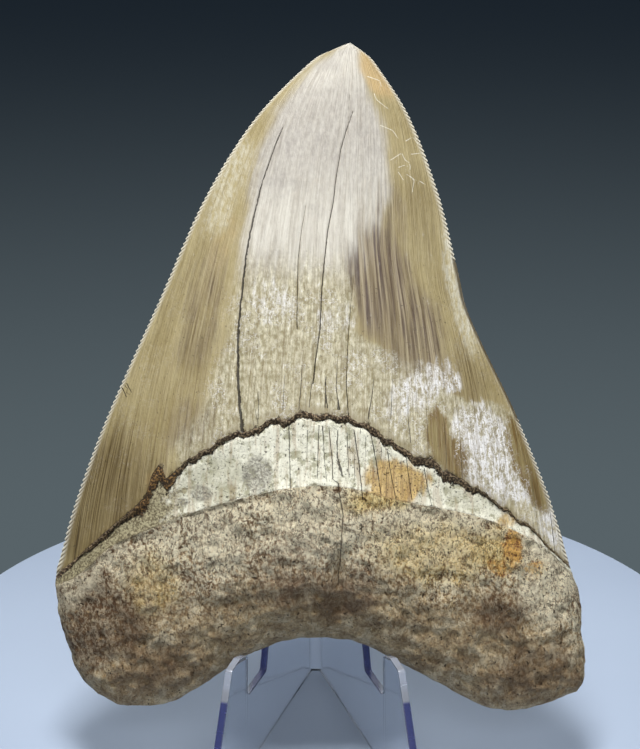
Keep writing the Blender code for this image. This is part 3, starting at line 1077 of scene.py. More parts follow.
    def crown_faces(self, faces: FaceStore, form: FaceForm, ids: Array,
                    strips: list[Array]) -> None:
        """Faces of the crown: its grid, a fan at the tip, and the fine strips joined to it.

        Args:
            faces: where the faces go.
            form: sizes of the face.
            ids: point numbers of its grid.
            strips: point numbers of its strips.
        """
        side, cells, fine = form.side, self.tooth.grid.crown_cells, self.tooth.grid.fine
        faces.add_grid(side, Zone.ENAMEL, ids[:cells, 1:-1])
        tip = np.full(ids.shape[1] - 3, strips[0][0])
        faces.add(side, Zone.ENAMEL, tip, ids[0, 1:-2], ids[0, 2:-1])
        for run in (strips[:3], strips[3:]):
            grid = np.stack(run, axis=1)
            faces.add_grid(side, Zone.ENAMEL, grid[1:])
            faces.add(side, Zone.ENAMEL, grid[[0, 0], [0, 0]], grid[1, :-1], grid[1, 1:])
        left, right = strips[2], strips[3]
        upper, lower = np.arange(1, cells), np.arange(2, cells + 1)
        faces.add(side, Zone.ENAMEL, *(left[upper * fine + k] for k in range(fine + 1)),
                  ids[lower - 1, 1], ids[upper - 1, 1])
        faces.add(side, Zone.ENAMEL, ids[upper - 1, -2], ids[lower - 1, -2],
                  *(right[lower * fine - k] for k in range(fine + 1)))
        faces.add(side, Zone.ENAMEL, *(left[[k]] for k in range(fine + 1)), ids[[0], 1])
        faces.add(side, Zone.ENAMEL, ids[[0], -2], *(right[[fine - k]] for k in range(fine + 1)))

    def front_below(self, faces: FaceStore, ids: Array, strips: list[Array]) -> None:
        """Faces of the front below the enamel: the band, then the root.

        Args:
            faces: where the faces go.
            ids: point numbers of its grid.
            strips: point numbers of its strips.
        """
        cells = self.tooth.grid.crown_cells
        top = cells - 1
        faces.add_grid(Side.FRONT, Zone.BAND, ids[top:cells + 1, 1:-1])
        faces.add(Side.FRONT, Zone.BAND, ids[[top], 0], ids[[cells], 0], ids[[cells], 1],
                  ids[[top], 1], strips[2][-1:], strips[1][-1:])
        faces.add(Side.FRONT, Zone.BAND, ids[[top], -2], ids[[cells], -2], ids[[cells], -1],
                  ids[[top], -1], strips[4][-1:], strips[3][-1:])
        foot = cells + FRONT.band_rows
        faces.add_grid(Side.FRONT, Zone.BAND, ids[cells:foot])
        faces.add_grid(Side.FRONT, Zone.BONE, ids[foot - 1:])

    def back_below(self, faces: FaceStore, ids: Array, front: Array, strips: list[Array]) -> None:
        """Faces of the back below the enamel, with the front's points between at the outline.

        Args:
            faces: where the faces go.
            ids: point numbers of its grid.
            front: point numbers of the front's grid.
            strips: point numbers of the back's strips.
        """
        cells = self.tooth.grid.crown_cells
        top, last = cells - 1, len(ids) - 1
        foot = cells + BACK.band_rows - 1
        between = front[cells::2]
        for zone, low, high in ((Zone.BAND, top, foot), (Zone.BONE, foot, last)):
            faces.add_grid(Side.BACK, zone, ids[low:min(high, last - 1) + 1, 1:-1])
            rows = np.arange(max(low, top + 1), min(high, last - 1))
            faces.add(Side.BACK, zone, ids[rows, 0], between[rows - top, 0], ids[rows + 1, 0],
                      ids[rows + 1, 1], ids[rows, 1])
            faces.add(Side.BACK, zone, ids[rows, -2], ids[rows + 1, -2], ids[rows + 1, -1],
                      between[rows - top, -1], ids[rows, -1])
        faces.add(Side.BACK, Zone.BAND, ids[[top], 0], between[[0], 0], ids[[cells], 0],
                  ids[[cells], 1], ids[[top], 1], strips[2][-1:], strips[1][-1:])
        faces.add(Side.BACK, Zone.BAND, ids[[top], -2], ids[[cells], -2], ids[[cells], -1],
                  between[[0], -1], ids[[top], -1], strips[4][-1:], strips[3][-1:])
        middle = front[-1, 1::2]
        row = last - 1
        faces.add(Side.BACK, Zone.BONE, ids[row, 1:-2], ids[last, 1:-2], middle[1:-1],
                  ids[last, 2:-1], ids[row, 2:-1])
        faces.add(Side.BACK, Zone.BONE, ids[[row], 0], between[[-1], 0], ids[[last], 0], middle[:1],
                  ids[[last], 1], ids[[row], 1])
        faces.add(Side.BACK, Zone.BONE, ids[[row], -2], ids[[last], -2], middle[-1:],
                  ids[[last], -1], between[[-1], -1], ids[[row], -1])


ETCHED = tuple(Stroke(points, 0.10, 0.07) for points in (
    ((11.8, 133.5), (12.3, 132.1), (14.9, 130.2)), ((10.3, 137.3), (13, 136.5), (13.4, 135.2)),
    ((13.1, 126.5), (15.8, 125.5), (17.2, 123.5)),
    ((15.3, 118.9), (17.8, 120.6), (18.5, 119), (19.6, 118.4), (19.6, 116.8)),
    ((17.1, 117.4), (18.5, 117.9)), ((16.9, 116.5), (18.2, 114.5)),
    ((18.9, 115.9), (20.5, 114.8), (20, 111.8)), ((18.7, 123.3), (20.3, 124.3), (21.5, 122.6)),
    ((19.8, 120.4), (22.1, 120.8)), ((21.6, 114.6), (23, 113.8))))

HAIRLINES = tuple(Stroke(points, start, end) for start, end, points in (
    (0.12, 0.08, ((-43.3, 69.5), (-42.1, 67.4))), (0.12, 0.08, ((-42.2, 70.4), (-41, 68.5))),
    (0.04, 0.09, ((-13, 68.8), (-13.2, 61.8))),
    (0.03, 0.12, ((1.5, 78.8), (1.3, 73.2), (1.1, 65.4))),
    (0.03, 0.13, ((4.5, 77.3), (4, 71.3), (3.8, 64.9))),
    (0.03, 0.11, ((11.5, 71.8), (11.1, 68.1), (10.2, 62.8))),
    (0.04, 0.08, ((-3.8, 74.5), (-4, 70.3), (-4.5, 64.9))),
    (0.03, 0.07, ((-1.5, 73), (-1.9, 69.2), (-2.3, 65.4))),
    (0.03, 0.08, ((18.8, 67.9), (18.8, 62.8), (19.4, 57.4))),
    (0.03, 0.06, ((-7.5, 72.4), (-7.9, 64.9))), (0.03, 0.07, ((15.4, 70.3), (15.1, 62.8))),
    (0.10, 0.06, ((-6.6, 61.8), (-6.4, 54.3), (-6.2, 45.8))),
    (0.09, 0.05, ((-0.2, 61.8), (-0.4, 56.5), (-0.6, 50.1))),
    (0.08, 0.10, ((1.9, 61.1), (2.6, 54.3), (2.8, 45.8))),
    (0.16, 0.12, ((4.3, 63.2), (4.9, 56.4), (3.8, 49.2), (4.9, 42.6), (4.3, 34), (4, 27.5))),
    (0.08, 0.04, ((5.7, 60.3), (6.2, 50.1))), (0.11, 0.10, ((7.2, 60.7), (8.3, 53.2), (9.1, 45.8))),
    (0.11, 0.09, ((10.4, 61.7), (11.9, 54.3), (13, 46.8))),
    (0.09, 0.07, ((14.3, 56.4), (15.1, 51.1), (16.4, 44.8))),
    (0.09, 0.07, ((18.4, 54.7), (19, 50), (19.6, 45.7))),
    (0.09, 0.05, ((22.2, 52.5), (23.1, 47.8), (24, 43.7))),
    (0.06, 0.04, ((-2.6, 60.7), (-2.8, 54.3))), (0.5, 0.12, ((-16.6, 60.6), (-16.9, 63.4)))))


@dataclass(frozen=True)
class ToothTones:
    """Where each tone of the tooth lies, as values from 0 to 1 at its points.

    The fields from brown on are the ovals of one tone each. core_left and core_right are the sides
    of the pale core, and grain_fan is how much the grain fans out with the tooth's width.
    """

    tooth: Tooth
    core_left: Curve = ((4, 144), (-3.6, 138), (-10, 130.1), (-13.8, 121), (-15.8, 110.3),
                        (-17.4, 99.3), (-18.6, 88.5), (-20.6, 77.8), (-24.6, 67), (-31, 58.5))
    core_right: Curve = ((8.6, 144.3), (11.6, 134.5), (14.6, 123.4), (15.6, 112), (12.5, 100.4),
                         (8.9, 90.6), (7.6, 82), (10.9, 79.7), (20.2, 75.4), (26.5, 69.2),
                         (32.5, 67), (39.3, 66.1), (46, 60), (52, 40))
    grain_fan: float = 0.42
    brown: Blobs = ovals(
        (13.2, 92.5, 7.6, 15, 10), (20, 82, 7.5, 13.5, 16, 0.78), (15, 106, 4.5, 10, 10, 0.5),
        (-25, 90.4, 4.8, 12, -16, 0.5), (-26.7, 78.9, 5, 8, -18, 0.48),
        (-28, 61.5, 6, 6.5, -22, 0.5))
    frost: Blobs = ovals(
        (50, 40, 3.2, 6.5, 25, 0.72), (35.5, 56.2, 7, 12, 24), (41.2, 49.6, 4.5, 7.5, 26, 0.9),
        (21.4, 69.1, 11, 5, 30, 0.6), (27, 71, 4, 3, 0, 0.65), (-10, 88, 6, 6, 0, 0.42),
        (3, 84, 6, 4, 0, 0.4))
    wedge: Blobs = ovals(
        (25.6, 59.5, 3, 6.5, 10), (28.4, 54.4, 5.4, 4.4, -42), (45.6, 52, 3.8, 13, 24))
    # Pale patches: the enamel's own pale tone on the crown, and on the root's upper shoulder and
    # right lobe partly painted highlight.
    pale_and_lit: Blobs = ovals(
        (30.6, 91, 3.2, 16, 12, 1), (48.8, 41, 5, 9.5, 30, 1.3), (-20, 113, 4, 14, -24, 0.6),
        (-36.6, 33, 9.5, 6.5, 0, 0.35), (-21.3, 36.5, 7.5, 9, 0, 0.75), (49.5, 28, 7.5, 12),
        (22.3, 38, 13, 7.5, -14, 0.8), (0, 40, 15, 8, 0, 0.9))
    orange: Blobs = ovals(
        (12.2, 138.5, 2.8, 7, 32, 0.8), (-34.6, 48.5, 2.4, 3.8, 0, 0.8),
        (-21, 100, 3, 9, -20, 0.28))
    # Darker patches on the crown, band and root. Those on the root's lower part are partly painted
    # shade, where it faces away from the light above.
    dim: Blobs = ovals(
        (-38, 24, 8, 8, 0, 0.7), (-48, 45, 14, 19, -30, 0.62), (48, 50, 5, 12, 25, 0.5),
        (22, 110, 4, 12, 14, 0.25), (31, 72, 5, 9, 20, 0.4), (39.3, 21.5, 7.5, 6.5, 0, 0.8),
        (3.8, 24, 8, 5, 0, 0.8), (-8, 26, 9, 5, 0, 0.6), (-49, 20, 10, 14), (-38, 9, 15, 8, 0, 0.6),
        (-43, 18.5, 9, 6.5), (46, 8, 12, 8, 0, 0.6), (-22.5, 49.5, 10, 5.5, 24, 0.6),
        (31, 46, 8, 4, -30, 0.45))
    purple: Blobs = ovals(
        (-6, 33.1, 12.5, 9, 0, 0.75), (-24, 28, 8, 6, 0, 0.5), (8, 28, 5, 8, 0, 0.6))
    ochre: Blobs = ovals(
        (-36, 27.4, 7, 8, 0, 0.5), (13.8, 46.4, 10, 3.4, 10), (37.5, 34, 8, 4.6, -10, 0.9),
        (16.2, 50.2, 8.5, 4.4, -14, 0.9), (40, 40, 8, 3, 24, 0.5), (24.3, 34.2, 15, 8, -6, 0.6))
    rust: Blobs = ovals(
        (41.9, 34.8, 2.8, 3.6), (39, 31, 3.5, 2.4, 0, 0.6), (46, 30, 3, 2, 0, 0.5))
    grey_spots: Blobs = ovals(
        (-13.4, 51.3, 3.9, 4.4, -10), (-25.4, 47, 2.8, 2, -20), (-29.5, 45, 1.6, 1.1))

    def of_points(self, known: dict[str, Array]) -> dict[str, Array]:
        """Vector layers for the materials.

        Args:
            known: the fields of the tooth's points.

        Returns:
            place: the place in the tooth's own frame. grain: places across and along the grain,
            and the serrations' wave. band: distance below the enamel's edge in widths of the
            fracture, share across, and height above the band's foot. levels: distance from the
            cutting edge, height above the enamel's edge and above the band's foot. crack and etch:
            way to the nearest stroke. tone_a to tone_d: covers of three tones each.
        """
        x, z, side = known["x"], known["z"], known["side"]
        share, front = known["share"], side < 0.5
        wander = Unevenness(5)
        wx = x + 1.6 * wander.layered(x / 7, z / 11, 2)
        wz = z + 2.2 * wander.layered(x / 5 + 40, z / 11, 2)
        wx = np.where(front, wx, -wx - 4)

        line = self.tooth.outline
        steps = np.linspace(0, 1, 400)
        left, right = smooth_curve(line.left_edge, steps), smooth_curve(line.right_edge, steps)
        width = (np.interp(z, right[::-1, 1], right[::-1, 0])
                 - np.interp(z, left[::-1, 1], left[::-1, 0]))
        margin = np.where(front, self.tooth.margin_line(FRONT, share)[..., 1],
                          self.tooth.margin_line(BACK, share)[..., 1])
        foot = np.where(front, across_curve(FRONT.band_foot, share)[..., 1],
                        across_curve(BACK.band_foot, share)[..., 1])
        from_edge = np.minimum(share, 1 - share) * width

        low, high = np.array(self.core_left)[::-1], np.array(self.core_right)
        inner_left = wx - np.interp(wz, low[:, 1], low[:, 0])
        inner_right = np.interp(-wz, -high[:, 1], high[:, 0]) - wx
        core = smooth_step(inner_left, -2.2, 3.2) * smooth_step(inner_right, -1.8, 2.6)

        def cover(tone: Blobs) -> Array:
            """Cover of one tone, with its outline wandering."""
            return covered(tone, wx, wz)

        turns = self.tooth.serrations * known["place"]
        blunt = (share > 0.5) * self.tooth.blunted(z)
        beads = (0.5 + 0.5 * np.cos(2 * math.pi * turns)) * (1 - blunt) * (known["place"] <= 1)
        across = (1 - self.grain_fan) * (x - 0.06 * z) + self.grain_fan * (share - 0.5) * 116
        fracture = (margin - z) / self.tooth.fracture_width(x)
        cracks, etched = (np.where(front[:, None], towards_strokes(strokes, x, z), FAR)
                          for strokes in (CRACKS + HAIRLINES, ETCHED))
        spots = covered(self.grey_spots, x + 0.3 * (wx - x), z)
        return {
            "place": joined(x, known["y"], z),
            "grain": joined(across, z, beads),
            "band": joined(fracture, share, z - foot),
            "levels": joined(from_edge, z - margin, z - foot),
            "crack": cracks,
            "etch": etched,
            "tone_a": joined(core, cover(self.brown), cover(self.frost)),
            "tone_b": joined(cover(self.wedge), cover(self.pale_and_lit), cover(self.orange)),
            "tone_c": joined(cover(self.purple), cover(self.ochre), cover(self.rust)),
            "tone_d": joined(spots, smooth_step(z, 86, 104), cover(self.dim)),
        }


Socket = bpy.types.NodeSocket
Value = Socket | float
Tone = Socket | Colour


class Wiring:
    """Adds nodes to one tree and joins them, in short calls."""

    def __init__(self, tree: bpy.types.NodeTree) -> None:
        """Works on this tree."""
        self.tree = tree

    def node(self, kind: str, *sources: object, **settings: object) -> bpy.types.Node:
        """A new node with these settings, and with these sources at its first inputs.

        Args:
            kind: its kind.
            sources: sockets or plain values.
            settings: its own settings.

        Returns:
            The node.
        """
        made = self.tree.nodes.new(kind)
        for name, value in settings.items():
            setattr(made, name, value)
        for socket, source in zip(made.inputs, sources):
            self.feed(socket, source)
        return made

    def feed(self, target: Socket, source: object) -> None:
        """Joins a socket to the target, or sets the target to a plain value."""
        if isinstance(source, bpy.types.NodeSocket):
            self.tree.links.new(source, target)
        else:
            target.default_value = source

    def math(self, operation: str, a: Value, b: Value = 0.0, clamp: bool = False) -> Socket:
        """The result of one sum."""
        return self.node("ShaderNodeMath", a, b, operation=operation, use_clamp=clamp).outputs[0]

    def times(self, a: Value, b: Value, clamp: bool = False) -> Socket:
        """a times b."""
        return self.math("MULTIPLY", a, b, clamp)

    def plus(self, a: Value, b: Value) -> Socket:
        """a plus b."""
        return self.math("ADD", a, b)

    def less(self, a: Value, b: Value) -> Socket:
        """a less b."""
        return self.math("SUBTRACT", a, b)

    def larger(self, a: Value, b: Value) -> Socket:
        """The larger of a and b."""
        return self.math("MAXIMUM", a, b)

    def shift(self, value: Value, factor: Value, add: Value = 0.0, clamp: bool = False) -> Socket:
        """value times factor plus add."""
        return self.node("ShaderNodeMath", value, factor, add, operation="MULTIPLY_ADD",
                         use_clamp=clamp).outputs[0]

    def reach(self, value: Value, low: Value, high: Value, to_low: float = 0.0,
              to_high: float = 1.0) -> Socket:
        """to_low below low, to_high above high, and an even S between."""
        return self.node("ShaderNodeMapRange", value, low, high, to_low, to_high,
                         interpolation_type="SMOOTHSTEP").outputs[0]

    def fall(self, value: Value, low: Value, high: Value) -> Socket:
        """1 below low, 0 above high, and an even S between."""
        return self.reach(value, low, high, 1.0, 0.0)

    def mix(self, share: Value, a: Tone, b: Tone) -> Socket:
        """Colour a turning into colour b.

        Args:
            share: 0 for a, 1 for b.
            a: first colour.
            b: second colour.

        Returns:
            The mixed colour.
        """
        made = self.node("ShaderNodeMix", share, data_type="RGBA")
        for socket, tone in ((made.inputs[6], a), (made.inputs[7], b)):
            self.feed(socket, linear(tone) if isinstance(tone, tuple) else tone)
        return made.outputs[2]

    def over(self, share: float, mask: Socket, under: Tone, tone: Tone) -> Socket:
        """A tone laid over the one under it where the mask says, this thick at most."""
        return self.mix(mask if share == 1 else self.times(mask, share), under, tone)

    def parts(self, vector: Socket) -> tuple[Socket, Socket, Socket]:
        """The three values of a vector."""
        return tuple(self.node("ShaderNodeSeparateXYZ", vector).outputs)

    def vector_layer(self, name: str) -> Socket:
        """A vector layer of the mesh."""
        return self.node("ShaderNodeAttribute", attribute_name=name).outputs["Vector"]

    def layer(self, name: str) -> tuple[Socket, Socket, Socket]:
        """The three values of a vector layer of the mesh."""
        return self.parts(self.vector_layer(name))

    def stretched(self, vector: Socket, scale: Triple) -> Socket:
        """A vector with each part multiplied."""
        return self.node("ShaderNodeVectorMath", vector, scale, operation="MULTIPLY").outputs[0]

    def noise(self, vector: Socket, scale: Value, detail: float = 2.0,
              rough: float = 0.5) -> Socket:
        """Cloudy noise of about 0.25 to 0.75.

        Args:
            vector: place in the noise.
            scale: how fine it is.
            detail: how many finer layers it has.
            rough: how strong the finer layers are.

        Returns:
            The noise.
        """
        made = self.node("ShaderNodeTexNoise")
        sources = {"Vector": vector, "Scale": scale, "Detail": detail, "Roughness": rough}
        for name, source in sources.items():
            self.feed(made.inputs[name], source)
        return made.outputs["Fac"]

    def sway(self, vector: Socket, scale: Value, detail: float = 2.0, rough: float = 0.5) -> Socket:
        """Cloudy noise less its middle value."""
        return self.less(self.noise(vector, scale, detail, rough), 0.5)

    def object_place(self) -> Socket:
        """The place in the object's own frame, in metres."""
        return self.node("ShaderNodeTexCoord").outputs["Object"]


class Effects:
    """Node groups that more than one finish uses, each built once."""

    VECTORS = ("Place", "Grain", "Way")

    def __init__(self) -> None:
        """Builds every group."""
        self.streaks = self.group("streaks", self.streaky, "Grain", "Across", "Down", "Low", "High")
        self.speckle = self.group("speckle", self.speckled, "Place", "Scale", "Low", "High")
        self.stroke = self.group("stroke", self.stroked, "Way", "Place", "Unevenness")
        self.ragged = self.group("ragged edge", self.ragged_edge, "Mask", "Place", "Scale",
                                 "Amount", "Softness")
        self.veins = self.group("veins", self.veined, "Place", "Scale", "Width")

    def group(self, name: str, mask: Callable[..., Socket], *labels: str) -> bpy.types.NodeTree:
        """A node group that puts out one mask.

        Args:
            name: its name.
            mask: makes the mask from the wiring and the group's inputs.
            labels: names of its inputs, which are numbers unless VECTORS lists them.

        Returns:
            The group.
        """
        tree = bpy.data.node_groups.new(name, "ShaderNodeTree")
        for label in labels:
            kind = "NodeSocketVector" if label in self.VECTORS else "NodeSocketFloat"
            tree.interface.new_socket(label, in_out="INPUT", socket_type=kind)
        tree.interface.new_socket("Mask", in_out="OUTPUT", socket_type="NodeSocketFloat")
        wiring = Wiring(tree)
        given = wiring.node("NodeGroupInput").outputs
        wiring.node("NodeGroupOutput", mask(wiring, *(given[label] for label in labels)))
        return tree

    @staticmethod
    def veined(wiring: Wiring, place: Socket, scale: Socket, width: Socket) -> Socket:
        """Squiggly thin lines: noise where it is nearly at its middle value."""
        away = wiring.math("ABSOLUTE", wiring.sway(place, scale, 3.0, 0.65))
        return wiring.fall(away, 0.0, width)

    @staticmethod
    def streaky(wiring: Wiring, grain: Socket, across: Socket, down: Socket, low: Socket,
                high: Socket) -> Socket:
        """Long streaks along the grain: noise on the grain place stretched two ways, sharpened.

        Args:
            wiring: wiring of the group.
            grain: place along and across the grain.
            across: how fine the noise is across the grain.
            down: how fine it is along the grain.
            low: noise that gives 0.
            high: noise that gives 1.

        Returns:
            The streaks.
        """
        x, y, _ = wiring.parts(grain)
        joined = wiring.node("ShaderNodeCombineXYZ", wiring.times(x, across), wiring.times(y, down))
        return wiring.reach(wiring.noise(joined.outputs[0], 1.0, 3.0, 0.55), low, high)

    @staticmethod
    def speckled(wiring: Wiring, place: Socket, scale: Socket, low: Socket, high: Socket) -> Socket:
        """Specks: fine noise where it passes between two levels."""
        return wiring.reach(wiring.noise(place, scale, 3.0, 0.6), low, high)

    @staticmethod
    def stroked(wiring: Wiring, way: Socket, place: Socket, unevenness: Socket) -> Socket:
        """Thin lines: 1 where the way to the nearest stroke is under one half width.

        The third value of the way is its length at the mesh's points. It keeps lines from showing
        midway between two strokes.

        Args:
            wiring: wiring of the group.
            way: way to the nearest stroke, and its length.
            place: place on the tooth.
            unevenness: how far the line strays.

        Returns:
            The lines.
        """
        across, up, whole = wiring.parts(way)
        sway = wiring.sway(place, 0.8, 4.0, 0.65)
        flat = wiring.node("ShaderNodeCombineXYZ", wiring.shift(sway, 3.6, across), up).outputs[0]
        length = wiring.node("ShaderNodeVectorMath", flat, operation="LENGTH").outputs["Value"]
        limit = wiring.shift(wiring.sway(place, 1.6), unevenness, 1.0)
        line = wiring.fall(length, wiring.times(limit, 0.6), wiring.times(limit, 1.15))
        return wiring.times(line, wiring.fall(whole, 12.0, 16.0))

    @staticmethod
    def ragged_edge(wiring: Wiring, mask: Socket, place: Socket, scale: Socket, amount: Socket,
                    softness: Socket) -> Socket:
        """A soft mask with a ragged edge: the mask moved up and down by noise, then sharpened."""
        moved = wiring.shift(wiring.sway(place, scale, 4.0, 0.6), amount, mask)
        return wiring.reach(moved, wiring.less(0.5, softness), wiring.plus(0.5, softness))


class Look(Wiring):
    """The nodes of one material, which feed its Principled shader."""

    def __init__(self, name: str) -> None:
        """Starts a material.

        Args:
            name: its name.
        """
        self.material = bpy.data.materials.new(name)
        self.material.use_nodes = True
        super().__init__(self.material.node_tree)
        self.shader = self.tree.nodes["Principled BSDF"]

    def give(self, **sources: object) -> None:
        """Feeds the shader's inputs, which are named with _ for each space."""
        for name, source in sources.items():
            self.feed(self.shader.inputs[name.replace("_", " ")], source)

    def bumped(self, height: Socket, distance: float) -> None:
        """Gives the shader fine relief.

        Args:
            height: relief from 0 to about 1.
            distance: height of a relief of 1, in metres.
        """
        bump = self.node("ShaderNodeBump")
        for name, source in {"Strength": 1.0, "Distance": distance, "Height": height}.items():
            self.feed(bump.inputs[name], source)
        self.give(Normal=bump.outputs[0])


class Paint(Look):
    """The look of one part of the tooth, whose colour grows layer by layer."""

    def __init__(self, name: str, effects: Effects) -> None:
        """Starts the material.

        Args:
            name: its name.
            effects: node groups that the finishes share.
        """
        super().__init__(name)
        self.effects = effects
        self.place = self.vector_layer("place")
        self.colour: Tone = (0, 0, 0)

    @cached_property
    def grain(self) -> Socket:
        """Places across and along the grain."""
        return self.vector_layer("grain")

    def effect(self, group: bpy.types.NodeTree, *sources: Value) -> Socket:
        """The mask of an effect with these inputs."""
        return self.node("ShaderNodeGroup", *sources, node_tree=group).outputs[0]

    def streaks(self, across: float, down: float, low: float, high: float) -> Socket:
        """Streaks of this fineness."""
        return self.effect(self.effects.streaks, self.grain, across, down, low, high)

    def specks(self, scale: float, low: float, high: float, place: Socket | None = None) -> Socket:
        """Specks of this fineness."""
        return self.effect(self.effects.speckle, place or self.place, scale, low, high)

    def ragged(self, mask: Socket, scale: float, amount: float, soft: float,
               place: Socket | None = None) -> Socket:
        """This mask with a ragged edge."""
        return self.effect(self.effects.ragged, mask, place or self.place, scale, amount, soft)

    def veins(self, scale: float, width: float, place: Socket | None = None) -> Socket:
        """Squiggly thin lines of this fineness."""
        return self.effect(self.effects.veins, place or self.place, scale, width)

    def stroke(self, layer: str, unevenness: float) -> Socket:
        """The thin lines of a layer of ways."""
        return self.effect(self.effects.stroke, self.vector_layer(layer), self.place, unevenness)

    def lay(self, *layers: tuple[float, Socket, Tone]) -> None:
        """Lays tones over the colour in turn, each by its thickness and its mask."""
        for share, mask, tone in layers:
            self.colour = self.over(share, mask, self.colour, tone)

    def finished(self, rough: Socket, relief: Socket, distance: float) -> Material:
        """Feeds the shader.

        Args:
            rough: roughness.
            relief: fine relief from 0 to about 1.
            distance: height of a relief of 1, in metres.

        Returns:
            The material.
        """
        self.give(Base_Color=self.colour, Roughness=rough)
        self.bumped(relief, distance)
        return self.material


@dataclass(frozen=True)
class EnamelFinish:
    """Satin enamel: a frosted pale core between khaki flanks, brown streaks and frosty patches."""

    effects: Effects
    name: str = "enamel"
    core: Colour = (236, 233, 221)
    core_shade: Colour = (176, 168, 156)
    lilac: Colour = (166, 160, 154)
    cream: Colour = (238, 233, 206)
    cream_shade: Colour = (158, 149, 116)
    khaki: Colour = (204, 191, 148)
    khaki_shade: Colour = (156, 140, 96)
    olive: Colour = (120, 103, 68)
    wedge_shade: Colour = (122, 98, 54)
    deep: Colour = (70, 56, 32)
    brown: Colour = (72, 54, 56)
    tan: Colour = (176, 162, 136)
    frost: Colour = (255, 255, 255)
    orange: Colour = (214, 184, 132)
    pale: Colour = (240, 238, 220)
    ink: Colour = (30, 22, 15)
    chalk: Colour = (250, 246, 230)
    relief: float = 0.00013

    def make(self) -> Material:
        """Builds the material.

        Returns:
            The material.
        """
        paint = Paint(self.name, self.effects)
        core, brown, frost = paint.layer("tone_a")
        wedge, pale, orange = paint.layer("tone_b")
        _, height, dim = paint.layer("tone_d")
        from_edge, above, _ = paint.layer("levels")
        _, _, wave = paint.layer("grain")
        _, _, high = paint.layer("place")
        long = paint.stretched(paint.grain, (1.0, 0.16, 0.0))
        stripes = paint.stretched(paint.grain, (1.0, 0.4, 0.0))
        grain = paint.streaks(1.5, 0.10, 0.30, 0.70)
        lines = paint.streaks(2.9, 0.045, 0.40, 0.66)
        wide = paint.streaks(0.42, 0.03, 0.34, 0.66)
        mottle = paint.noise(paint.stretched(paint.place, (1.0, 0.0, 0.5)), 1.1, 5.0, 0.72)
        blotch = paint.noise(paint.place, 0.085, 4.0, 0.6)
        spotty = paint.reach(mottle, 0.36, 0.64)

        core_tone = paint.mix(paint.shift(grain, 0.45, paint.times(wide, 0.3)), self.core,
                              self.core_shade)
        greyed = paint.plus(paint.times(paint.reach(blotch, 0.46, 0.64), 0.5),
                            paint.less(paint.reach(high, 104.0, 122.0, 0.0, 0.62),
                                       paint.reach(high, 131.0, 141.0, 0.0, 0.56)))
        core_tone = paint.mix(greyed, core_tone, self.lilac)
        core_tone = paint.over(0.35, spotty, core_tone, self.core)
        cream = paint.mix(spotty, self.cream_shade, self.cream)
        cream = paint.over(0.35, grain, cream, self.khaki_shade)
        cream = paint.over(0.7, paint.reach(mottle, 0.60, 0.68), cream, self.frost)
        core_tone = paint.mix(paint.ragged(height, 0.6, 0.9, 0.45, long), cream, core_tone)
        khaki = paint.mix(paint.shift(blotch, 1.6, -0.3, True), self.khaki_shade, self.khaki)
        khaki = paint.over(0.5, wide, khaki, self.khaki_shade)
        khaki = paint.over(0.18, spotty, khaki, self.khaki)
        khaki = paint.mix(paint.ragged(dim, 0.4, 0.5, 0.5, long), khaki, self.olive)
        paint.colour = paint.mix(paint.ragged(core, 0.8, 0.8, 0.5, long), khaki, core_tone)
        stain = paint.mix(paint.streaks(1.0, 0.035, 0.40, 0.60), self.brown, self.tan)
        stain = paint.over(0.4, lines, stain, self.brown)
        stain = paint.over(0.35, wide, stain, self.olive)
        paint.lay((0.8, paint.ragged(orange, 0.4, 0.6, 0.5), self.orange),
                  (0.8, paint.ragged(pale, 0.6, 0.9, 0.45, long),
                   paint.mix(spotty, self.khaki, self.pale)),
                  (0.92, paint.ragged(brown, 0.7, 1.5, 0.62, long), stain))

        cover = paint.ragged(frost, 0.55, 1.7, 0.3, stripes)
        patches = paint.larger(paint.streaks(0.8, 0.2, 0.5, 0.6), paint.reach(mottle, 0.48, 0.54))
        white = paint.times(cover, paint.shift(patches, 0.84, 0.12))
        sunk = paint.mix(paint.streaks(1.3, 0.08, 0.40, 0.60), self.wedge_shade, self.khaki_shade)
        scratched = paint.times(paint.reach(paint.noise(paint.place, 0.16), 0.48, 0.58),
                                paint.shift(height, -0.85, 0.85))
        scratched = paint.times(scratched, paint.shift(core, 0.85, 0.15))
        scratched = paint.times(scratched, paint.shift(paint.larger(brown, wedge), -1.0, 1.0))
        etched = paint.times(paint.veins(0.62, 0.030), paint.larger(cover, scratched))
        worn = paint.times(paint.veins(0.85, 0.028),
                           paint.shift(paint.larger(scratched, cover), 0.5, 0.04))
        dark = paint.times(paint.times(lines, paint.shift(wide, 0.8, 0.4)),
                           paint.plus(paint.shift(height, -0.28, 0.40), dim), True)
        specks = paint.times(paint.specks(1.9, 0.64, 0.70), paint.shift(height, -0.4, 0.55))
        hair = paint.times(paint.streaks(1.2, 0.008, 0.70, 0.715),
                           paint.reach(above, 4.0, 22.0, 0.8, 0.0))
        paint.lay((1, white, self.frost),
                  (0.95, paint.ragged(wedge, 0.7, 1.6, 0.3, stripes), sunk),
                  (0.85, etched, self.frost), (1, worn, self.olive),
                  (1, dark, paint.mix(dim, self.olive, self.deep)), (1, specks, self.ink),
                  (1, hair, self.ink))

